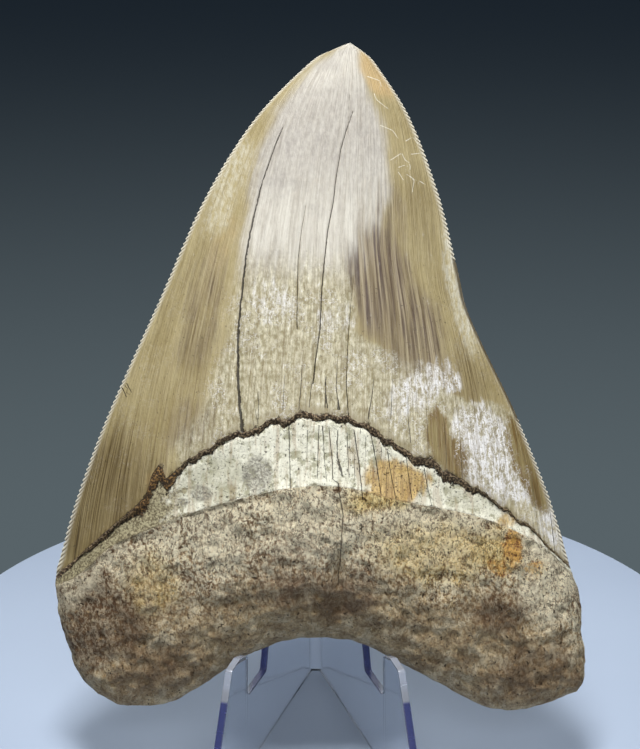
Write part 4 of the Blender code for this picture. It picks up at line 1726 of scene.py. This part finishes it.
        rim = paint.times(paint.fall(from_edge, 0.2, 2.0), paint.shift(wave, 0.7, 0.3))
        # Painted shade in the notches between the serrations, along the cutting edge.
        notch = paint.times(paint.fall(from_edge, 0.5, 1.3), paint.reach(wave, 0.42, 0.10))
        stained = paint.times(paint.fall(above, 0.1, 2.6), paint.reach(mottle, 0.38, 0.62))
        eaten = paint.shift(paint.sway(paint.place, 0.75, 5.0, 0.75), 4.5, above)
        crack, etch = paint.stroke("crack", 1.1), paint.stroke("etch", 1.8)
        paint.lay((1, rim, self.chalk), (0.85, notch, self.deep), (0.7, stained, self.olive),
                  (1, paint.reach(eaten, 0.1, 0.3, 0.85, 0.0),
                   paint.mix(spotty, self.ink, self.olive)),
                  (0.9, crack, self.ink), (0.65, etch, self.chalk))
        rough = paint.plus(paint.shift(spotty, 0.16, 0.30), paint.times(white, 0.25))
        relief = paint.plus(paint.times(grain, 0.6), paint.times(mottle, 1.2))
        relief = paint.less(relief, paint.plus(crack, hair))
        return paint.finished(rough, relief, self.relief)


@dataclass(frozen=True)
class BandFinish:
    """The smooth band under the enamel: cream, grey and ochre, with a broken brown edge."""

    effects: Effects
    name: str = "band"
    cream: Colour = (254, 253, 234)
    shade: Colour = (182, 180, 152)
    grey: Colour = (138, 134, 122)
    ochre: Colour = (224, 190, 116)
    ochre_shade: Colour = (146, 108, 54)
    bone: Colour = (184, 176, 142)
    bone_shade: Colour = (112, 102, 76)
    broken: Colour = (206, 180, 144)
    broken_shade: Colour = (74, 56, 38)
    rusty: Colour = (190, 142, 72)
    ink: Colour = (34, 25, 16)
    relief: float = 0.0002

    def make(self) -> Material:
        """Builds the material.

        Returns:
            The material.
        """
        paint = Paint(self.name, self.effects)
        spots, _, dim = paint.layer("tone_d")
        _, ochre, _ = paint.layer("tone_c")
        fracture, _, over_foot = paint.layer("band")
        side, _, _ = paint.layer("place")
        cloud = paint.noise(paint.place, 0.45, 5.0, 0.68)
        fine = paint.noise(paint.place, 2.0, 4.0, 0.7)
        streak = paint.streaks(1.6, 0.12, 0.35, 0.7)
        yellow = paint.mix(paint.larger(paint.times(streak, 0.9), paint.reach(fine, 0.46, 0.40)),
                           self.ochre, self.ochre_shade)
        long = paint.stretched(paint.grain, (1.0, 0.35, 0.0))
        end = paint.fall(paint.shift(paint.less(cloud, 0.5), 22.0, side), -33.0, -28.0)
        bone = paint.mix(paint.reach(fine, 0.42, 0.58), self.bone_shade, self.bone)
        spot = paint.times(paint.ragged(spots, 0.7, 0.9, 0.35),
                           paint.shift(paint.reach(fine, 0.42, 0.6), -0.6, 0.9))
        specks, crack = paint.specks(2.1, 0.62, 0.67), paint.stroke("crack", 1.3)
        paint.colour = paint.mix(paint.reach(cloud, 0.38, 0.52), self.shade, self.cream)
        paint.lay((0.22, streak, self.shade), (0.7, paint.ragged(dim, 0.9, 1.8, 0.4), self.shade),
                  (0.35, paint.streaks(0.8, 0.10, 0.5, 0.62), self.ochre_shade),
                  (0.9, paint.ragged(ochre, 0.6, 1.5, 0.3, long), yellow), (1, end, bone),
                  (1, spot, self.grey), (0.75, specks, self.ink),
                  (0.5, paint.veins(0.6, 0.012), self.broken_shade), (0.85, crack, self.ink))

        sway = paint.sway(paint.place, 0.8, 5.0, 0.75)
        moved = paint.shift(sway, 2.4, fracture)
        broken = paint.fall(moved, 1.0, 1.12)
        crumb = paint.reach(fine, 0.46, 0.60)
        brown = paint.mix(crumb, self.broken_shade, self.broken)
        rusty = paint.times(end, paint.reach(side, -43.0, -38.0))
        brown = paint.over(0.85, rusty, brown, paint.mix(crumb, self.broken_shade, self.rusty))
        brown = paint.over(0.9, paint.veins(1.1, 0.030), brown, self.ink)
        # Ink along the top and the foot of the broken edge: partly the crack itself, partly painted
        # shade under the enamel's ledge and in the gap below it.
        upper = paint.fall(fracture, 0.02, 0.16)
        lower = paint.times(paint.reach(moved, 0.8, 0.95), paint.fall(moved, 1.08, 1.16))
        away = paint.math("ABSOLUTE", paint.shift(cloud, 2.4, paint.less(over_foot, 1.2)))
        line = paint.times(paint.fall(away, 0.05, 0.45), paint.reach(fine, 0.40, 0.55))
        paint.lay((1, broken, brown), (0.88, paint.larger(upper, lower), self.ink),
                  (0.55, line, self.broken_shade))
        relief = paint.plus(paint.times(cloud, 1.5),
                            paint.times(fine, paint.shift(broken, 2.4, 0.5)))
        relief = paint.less(relief, paint.plus(specks, crack))
        return paint.finished(paint.shift(cloud, 0.3, 0.42), relief, self.relief)


@dataclass(frozen=True)
class BoneFinish:
    """The porous root: tan bone with pale grain, dark pits, and purple, ochre and rust patches, with
    painted shade on its lower part and a painted highlight on its upper shoulder.
    """

    effects: Effects
    name: str = "root_bone"
    tan: Colour = (222, 194, 147)
    shade: Colour = (166, 138, 97)
    dark: Colour = (88, 56, 28)
    pale: Colour = (255, 246, 216)
    purple: Colour = (170, 144, 118)
    ochre: Colour = (242, 208, 128)
    rust: Colour = (246, 186, 86)
    pit: Colour = (60, 40, 16)
    gilt: Colour = (255, 230, 156)
    # Greyer tone of the lower root, partly painted shade.
    shaded_taupe: Colour = (166, 151, 122)
    rust_shade: Colour = (136, 78, 22)
    relief: float = 0.00035

    def make(self) -> Material:
        """Builds the material.

        Returns:
            The material.
        """
        paint = Paint(self.name, self.effects)
        purple, ochre, rust = paint.layer("tone_c")
        _, _, over_foot = paint.layer("levels")
        # Pale patches of the root, partly painted highlight.
        _, pale_lit_patches, _ = paint.layer("tone_b")
        _, _, dim = paint.layer("tone_d")
        long = paint.stretched(paint.place, (1.0, 1.0, 0.72))
        cloud = paint.noise(paint.place, 0.13, 5.0, 0.65)
        middle = paint.noise(long, 0.34, 4.0, 0.62)
        grain = paint.noise(long, 1.4, 5.0, 0.76)
        fine = paint.noise(paint.place, 2.2, 4.0, 0.75)

        # upper is 1 on the root's upper part and 0.16 lower down. The taupe laid where it falls is
        # partly the bone's greyer tone, partly painted shade on the lower root, which faces away
        # from the light above.
        upper = paint.reach(paint.shift(cloud, 24.0, over_foot), -16.0, 4.0, 0.16, 1.0)
        uneven = paint.shift(upper, 0.35, 0.25)
        # Pale flecks along the root's top just under the band: a painted highlight on the shoulder
        # that faces the light above.
        lit_crest = paint.times(paint.reach(over_foot, -9.0, -2.0), paint.reach(middle, 0.38, 0.52))
        warm = paint.times(paint.larger(ochre, rust), 0.8, True)
        fleck = paint.mix(warm, self.pale, self.gilt)
        paint.colour = paint.mix(paint.reach(cloud, 0.36, 0.62), self.shade, self.tan)
        # Darker, greyer lower root: partly painted shade.
        paint.lay((0.4, paint.shift(upper, -1.0, 1.0), self.shaded_taupe),
                  (1, paint.times(paint.reach(middle, 0.49, 0.40), uneven), self.dark),
                  (1, paint.times(paint.reach(middle, 0.51, 0.60), uneven), self.pale),
                  # Pale patches, partly painted highlight on the root.
                  (0.6, paint.ragged(pale_lit_patches, 0.3, 1.0, 0.5), self.pale),
                  # Darker patches, partly painted shade on the lower root.
                  (0.78, paint.ragged(dim, 0.3, 1.0, 0.5), self.dark),
                  (0.5, paint.ragged(purple, 0.22, 1.0, 0.5), self.purple),
                  (0.7, paint.ragged(ochre, 0.34, 1.4, 0.4), self.ochre), (0.55, lit_crest, fleck))

        # Pale flecks and dark hollows along the grain, mostly on the upper root: the bone's pores
        # and crust, partly painted highlight and shade of its lit bumps.
        upper = paint.times(upper, paint.shift(dim, -0.7, 1.0), True)
        hollow = paint.times(paint.reach(grain, 0.445, 0.41), paint.shift(upper, 0.75, 0.2))
        hollow = paint.times(hollow, paint.shift(pale_lit_patches, -0.6, 1.0))
        veins = paint.veins(0.55, 0.026, long)
        rusty = paint.mix(paint.reach(grain, 0.42, 0.55), self.rust_shade, self.rust)
        holes = paint.larger(paint.specks(1.3, 0.63, 0.68, long),
                             paint.times(paint.specks(3.0, 0.60, 0.67), 0.45))
        paint.lay((0.95, paint.times(paint.reach(grain, 0.49, 0.525), upper), fleck),
                  (0.95, hollow, self.dark),
                  (0.8, paint.times(veins, paint.shift(upper, 0.6, 0.4)), self.dark),
                  (0.8, paint.ragged(rust, 0.9, 2.0, 0.35), rusty), (0.9, holes, self.pit),
                  (0.8, paint.stroke("crack", 1.4), self.pit))
        relief = paint.plus(paint.times(grain, 2.2), paint.times(fine, 0.8))
        relief = paint.less(relief, paint.plus(holes, paint.times(veins, 0.6)))
        return paint.finished(paint.shift(fine, 0.3, 0.55), relief, self.relief)


@dataclass(frozen=True)
class ClearPlasticFinish:
    """Polished clear sheet with faint smears."""

    name: str = "clear_sheet"
    tint: Colour = (240, 244, 252)
    bending: float = 1.49
    smear_scale: float = 60.0

    def make(self) -> Material:
        """Builds the material.

        Returns:
            The material.
        """
        look = Look(self.name)
        smear = look.noise(look.object_place(), self.smear_scale, 3.0, 0.6)
        look.give(Base_Color=linear(self.tint), Transmission_Weight=1.0, Metallic=0.0,
                  IOR=self.bending, Roughness=look.reach(smear, 0.45, 0.75, 0.01, 0.08))
        return look.material


@dataclass(frozen=True)
class CutEdgeFinish:
    """Cut edges of the sheet, with painted light: the indigo that light running inside the sheet
    shows, a pale tone where they look clear, and a painted contact shadow at the foot.

    Attributes:
        indigo: colour of most edges.
        pale: colour of the edges that look clear.
        foot: colour of the lower edge, which lies on the table: a painted contact shadow with the
            edge seen through the sheet.
        middle: the spine's place across, in metres.
        clear_aside: distance from the spine where edges start to look clear, from none to all.
        clear_above: height where they do so, for edges at the front.
        clear_behind: place along y where they do so, for edges of any height.
        foot_height: height where the lower edge ends.
        saw: scale of the saw's marks along each axis.
        clearness: share of the light that goes through.
        bending: how strongly the sheet bends light.
        relief: height of the saw's marks.
    """

    name: str = "cut_edge"
    indigo: Colour = (102, 112, 182)
    pale: Colour = (222, 230, 246)
    # Painted contact shadow of the lower edge.
    foot: Colour = (44, 48, 64)
    middle: float = -0.00105
    clear_aside: Point = (0.0135, 0.0150)
    clear_above: Point = (0.0222, 0.0230)
    clear_behind: Point = (-0.0150, -0.0140)
    foot_height: Point = (0.0006, 0.0014)
    saw: Triple = (90.0, 90.0, 900.0)
    clearness: float = 0.62
    bending: float = 1.49
    relief: float = 0.00002

    def make(self) -> Material:
        """Builds the material.

        Returns:
            The material.
        """
        look = Look(self.name)
        place = look.object_place()
        saw = look.noise(look.stretched(place, self.saw), 1.0, 3.0, 0.6)
        x, y, z = look.parts(place)
        aside = look.math("ABSOLUTE", look.plus(x, -self.middle))
        ends = look.larger(look.reach(z, *self.clear_above), look.reach(y, *self.clear_behind))
        clear = look.times(look.reach(aside, *self.clear_aside), ends)
        # Indigo and pale edges: painted light from inside the sheet.
        colour = look.mix(clear, self.indigo, self.pale)
        # The lower edge turns dark: a painted contact shadow on the table.
        colour = look.mix(look.fall(z, *self.foot_height), colour, self.foot)
        look.give(Base_Color=colour, Roughness=look.shift(saw, 0.25, 0.12),
                  Transmission_Weight=self.clearness, Metallic=0.0, IOR=self.bending)
        look.bumped(saw, self.relief)
        return look.material


@dataclass(frozen=True)
class TableFinish:
    """Matt pale table top."""

    name: str = "table_top"
    pale: Colour = (176, 191, 212)
    shade: Colour = (168, 183, 205)
    cloud_scale: float = 14.0

    def make(self) -> Material:
        """Builds the material.

        Returns:
            The material.
        """
        look = Look(self.name)
        cloud = look.noise(look.object_place(), self.cloud_scale, 3.0)
        look.give(Base_Color=look.mix(cloud, self.shade, self.pale),
                  Roughness=look.shift(cloud, 0.2, 0.42))
        return look.material


@dataclass
class Easel:
    """The clear easel: one sheet cut flat, folded at two upright lines, and given its thickness.

    Sizes are in millimetres and angles in radians, but bevel_from, from which edges are bevelled,
    is in degrees.

    Attributes:
        corners: place along the wing and height, radius, and foot place of each upper corner.
    """

    name: str = "clear_easel"
    sheet: float = 1.6
    half_spread: float = math.radians(17.3)
    spine_width: float = 3.2
    bend_radius: float = 1.0
    bend_steps: int = 14
    arc_points: int = 9
    spine_height: float = 84.0
    wing_length: float = 71.3
    rounding: float = 0.16
    bevel_from: float = 40.0
    corners: tuple[tuple[Point, float, float], ...] = (
        ((15.4 - 0.31 * 6.0, 84.0), 8.0, 14.0), ((32.8, 21.9), 3.0, 31.0),
        ((34.2, 17.3), 1.2, 34.0), ((46.7, 17.6), 1.2, 46.0), ((46.4, 27.2), 1.2, 48.5),
        ((51.0, 28.9), 3.0, 53.0), ((56.3, 28.6), 1.2, 60.0))

    def rounded(self) -> tuple[Array, Array]:
        """Upper outline of one wing from the spine to the toe, and the foot point below each point.

        Each corner is an arc tangent to both runs.

        Returns:
            Distance along the wing and height of each point, and the distance of its foot point.
        """
        before = [(0.0, self.spine_height)] + [corner for corner, _, _ in self.corners]
        after = [corner for corner, _, _ in self.corners[1:]] + [(self.wing_length, 0.0)]
        places, feet = [np.array([[0.0, self.spine_height]])], [np.array([0.0])]
        for (corner, radius, foot), earlier, later in zip(self.corners, before, after):
            middle = np.array(corner)
            back, ahead = (way / np.linalg.norm(way) for way in
                           (np.array(earlier) - middle, np.array(later) - middle))
            half = math.acos(float(np.clip(back @ ahead, -1, 1))) / 2
            inward = (back + ahead) / np.linalg.norm(back + ahead)
            centre = middle + inward * radius / math.sin(half)
            start = middle + back * radius / math.tan(half) - centre
            end = middle + ahead * radius / math.tan(half) - centre
            sweep = math.atan2(start[0] * end[1] - start[1] * end[0], start @ end)
            angle = np.linspace(0, sweep, self.arc_points)
            turned = joined(start[0] * np.cos(angle) - start[1] * np.sin(angle),
                            start[0] * np.sin(angle) + start[1] * np.cos(angle))
            places.append(centre + turned)
            feet.append(foot + np.linspace(-0.4, 0.4, self.arc_points) * min(radius, 1.5))
        places.append(np.array([[self.wing_length, 0.0]]))
        feet.append(np.array([self.wing_length]))
        return np.concatenate(places), np.concatenate(feet)

    def bend(self) -> tuple[float, float, float, float]:
        """Measures of one bend of the sheet.

        Returns:
            Its angle, the length of its arc, its tangent, and half the flat of the spine.
        """
        turn = math.pi / 2 - self.half_spread
        tangent = self.bend_radius * math.tan(turn / 2)
        return turn, self.bend_radius * turn, tangent, self.spine_width / 2 - tangent

    def folded(self, run: Array, height: Array) -> Array:
        """Where points of the flat sheet go when it is bent: a flat, an arc, then a wing.

        Args:
            run: distance from the middle of the spine, to the right.
            height: height above the foot.

        Returns:
            Their places in millimetres.
        """
        turn, arc, _, flat = self.bend()
        side, along = np.sign(run), np.abs(run)
        angle = np.clip((along - flat) / arc, 0, 1) * turn
        past = np.maximum(along - flat - arc, 0)
        x = np.minimum(along, flat) + self.bend_radius * np.sin(angle) + past * math.cos(turn)
        y = self.bend_radius * (1 - np.cos(angle)) + past * math.sin(turn)
        return joined(side * x, -y, height)

    def build(self, finish: Material, edge: Material,
              origin: Vector) -> Object:
        """Makes the easel: columns from the foot edge to the upper outline, folded, then thickened.

        Args:
            finish: material of its two sides.
            edge: material of its cut edges.
            origin: the middle of the spine at its foot, in metres.

        Returns:
            The easel's object.
        """
        _, arc, tangent, flat = self.bend()
        corner = flat + arc - tangent
        upper, feet = self.rounded()
        bend = flat + arc * np.arange(self.bend_steps + 1) / self.bend_steps
        top_run = np.concatenate([bend, corner + upper[1:, 0]])
        height = np.concatenate([np.full(len(bend), self.spine_height), upper[1:, 1]])
        foot_run = np.concatenate([bend, corner + feet[1:]])
        top_run, foot_run, height = (np.concatenate([sign * half[::-1], half]) for sign, half in
                                     ((-1, top_run), (-1, foot_run), (1, height)))
        upper_line = self.folded(top_run, height)
        foot_line = self.folded(foot_run, np.zeros_like(foot_run))
        last = len(top_run) - 1
        points = np.concatenate([upper_line, foot_line[1:-1]]) * MM + np.array(origin)
        inner = np.arange(1, last - 1)
        faces = joined(inner, inner + 1, inner + 1 + last, inner + last).tolist()
        faces += [[0, 1, 1 + last], [last - 1, last, last - 1 + last]]
        easel = new_object(self.name, points, faces, finish, edge)
        for name, kind, settings in (
                ("sheet thickness", "SOLIDIFY", {"thickness": self.sheet * MM, "offset": 0,
                                                 "use_even_offset": True,
                                                 "material_offset_rim": 1}),
                ("polished edges", "BEVEL", {"width": self.rounding * MM, "segments": 2,
                                             "limit_method": "ANGLE", "harden_normals": False,
                                             "angle_limit": math.radians(self.bevel_from)}),
                ("even shading", "WEIGHTED_NORMAL", {})):
            modifier = easel.modifiers.new(name, kind)
            for setting, value in settings.items():
                setattr(modifier, setting, value)
        return easel


@dataclass(frozen=True)
class Lamp:
    """A square soft light that faces its aim, with sizes in metres and power in watts."""

    name: str
    place: Triple
    size: float
    power: float
    colour: Triple
    aim: Triple = (0, -0.01, 0.07)

    def build(self) -> None:
        """Makes the light."""
        data = bpy.data.lights.new(self.name, "AREA")
        data.shape = "SQUARE"
        data.size, data.energy, data.color = self.size, self.power, self.colour
        lamp = bpy.data.objects.new(self.name, data)
        lamp.location = self.place
        ahead = Vector(self.aim) - Vector(self.place)
        lamp.rotation_euler = ahead.to_track_quat("-Z", "Y").to_euler()
        bpy.context.scene.collection.objects.link(lamp)


@dataclass
class Studio:
    """The table, the backdrop, the lights and the camera, with sizes in metres.

    Attributes:
        table_back: how far the table's middle lies behind the origin.
        lamps: a large light above, a broad one in front and one behind for the table.
        distance: from the camera to the tooth.
        aim_height: height up the tooth that the camera looks at.
        pixels_per_mm: scale of the photograph at the tooth, which is width pixels wide.
        sensor: width of the camera's sensor, in millimetres.
    """

    table_radius: float = 0.097
    table_back: float = 0.043
    table_thickness: float = 0.006
    table_sides: int = 128
    slate_above: Colour = (26, 34, 42)
    slate_below: Colour = (88, 99, 104)
    lamps: tuple[Lamp, ...] = (
        Lamp("above", (-0.04, -0.12, 0.66), 0.17, 3.75, (1.0, 0.98, 0.96)),
        Lamp("front", (0.08, -0.75, 0.46), 0.50, 3.1, (0.97, 0.98, 0.99)),
        Lamp("behind", (0.0, 0.45, 0.50), 0.50, 1.9, (0.92, 0.96, 1.0), (0.0, 0.04, 0.0)))
    distance: float = 0.420
    aim_height: float = 0.0724
    pixels_per_mm: float = 4.57
    width: int = 640
    sensor: float = 36.0

    def table(self, finish: Material) -> Object:
        """The round table top: an edge profile turned about its middle.

        Args:
            finish: its material.

        Returns:
            The table's object.
        """
        rim = self.table_radius
        inner = np.array([(rim * 0.5, 0.0), (rim - 0.0012, 0.0), (rim - 0.0004, -0.0003),
                          (rim, -0.0012), (rim, -self.table_thickness)])
        turns = np.linspace(0, 2 * math.pi, self.table_sides + 1)[:-1]
        ring = joined(inner[None, :, 0] * np.cos(turns)[:, None],
                      self.table_back + inner[None, :, 0] * np.sin(turns)[:, None],
                      np.broadcast_to(inner[None, :, 1], (len(turns), len(inner))))
        middles = [(0.0, self.table_back, 0.0), (0.0, self.table_back, -self.table_thickness)]
        points = np.concatenate([ring.reshape(-1, 3), middles])
        ids = np.arange(len(turns) * len(inner)).reshape(len(turns), len(inner))
        after = np.roll(ids, -1, axis=0)
        faces = joined(ids[:, :-1], ids[:, 1:], after[:, 1:], after[:, :-1]).reshape(-1, 4).tolist()
        top, under = len(points) - 2, len(points) - 1
        faces += [[top, int(a), int(b)] for a, b in zip(ids[:, 0], after[:, 0])]
        faces += [[under, int(b), int(a)] for a, b in zip(ids[:, -1], after[:, -1])]
        table = new_object("table", points, faces, finish)
        table.data.set_sharp_from_angle(angle=math.radians(30))
        return table

    def backdrop(self) -> None:
        """A dark slate world that is a little lighter lower down."""
        world = bpy.data.worlds.new("backdrop")
        bpy.context.scene.world = world
        world.use_nodes = True
        wiring = Wiring(world.node_tree)
        shade = world.node_tree.nodes["Background"]
        _, _, up = wiring.parts(wiring.node("ShaderNodeTexCoord").outputs["Generated"])
        height = wiring.reach(up, -0.42, -0.13)
        wiring.feed(shade.inputs["Color"], wiring.mix(height, self.slate_below, self.slate_above))
        shade.inputs["Strength"].default_value = 1.0

    def camera(self, tooth: Tooth, origin: Vector) -> None:
        """The camera, square on to the leaning tooth at the photograph's distance.

        Args:
            tooth: the tooth that it looks at.
            origin: the easel's origin, in metres.
        """
        lean = tooth.lean
        up = Vector((0, math.sin(lean), math.cos(lean)))
        aim = origin + Vector(tooth.place) * MM + up * self.aim_height
        ahead = Vector((0, math.cos(lean), -math.sin(lean)))
        data = bpy.data.cameras.new("camera")
        data.sensor_fit = "HORIZONTAL"
        data.sensor_width = self.sensor
        data.lens = self.sensor * self.pixels_per_mm * self.distance * 1000 / self.width
        data.clip_start = 0.01
        camera = bpy.data.objects.new("camera", data)
        camera.location = aim - ahead * self.distance
        camera.rotation_euler = (math.pi / 2 - lean, 0, 0)
        bpy.context.scene.collection.objects.link(camera)
        bpy.context.scene.camera = camera


def easel_origin(sheet: float) -> Vector:
    """The middle of the easel's spine at its foot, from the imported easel's box."""
    low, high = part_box("stand")
    return Vector(((low.x + high.x) / 2, high.y - sheet / 2 * MM, low.z))


def main() -> None:
    """Builds the tooth, the easel and the studio in order."""
    logging.basicConfig(level=logging.INFO, format="%(name)s: %(message)s")
    effects = Effects()
    easel_form, tooth_form, studio = Easel(), Tooth(), Studio()
    origin = easel_origin(easel_form.sheet)

    finishes = {Zone.ENAMEL: EnamelFinish(effects).make(), Zone.BAND: BandFinish(effects).make(),
                Zone.BONE: BoneFinish(effects).make()}
    tooth = ToothMesh(tooth_form).build(finishes, origin)
    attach(tooth, "root")
    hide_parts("tooth")
    log.info("%s: %d faces", tooth.name, len(tooth.data.polygons))

    easel = easel_form.build(ClearPlasticFinish().make(), CutEdgeFinish().make(), origin)
    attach(easel, "root")
    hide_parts("stand")
    log.info("%s: %d faces before its modifiers", easel.name, len(easel.data.polygons))

    table = studio.table(TableFinish().make())
    studio.backdrop()
    for lamp in studio.lamps:
        lamp.build()
    studio.camera(tooth_form, origin)
    bpy.context.scene.view_settings.view_transform = "Standard"
    log.info("table, lights and camera are in place")


if __name__ == "__main__":
    main()
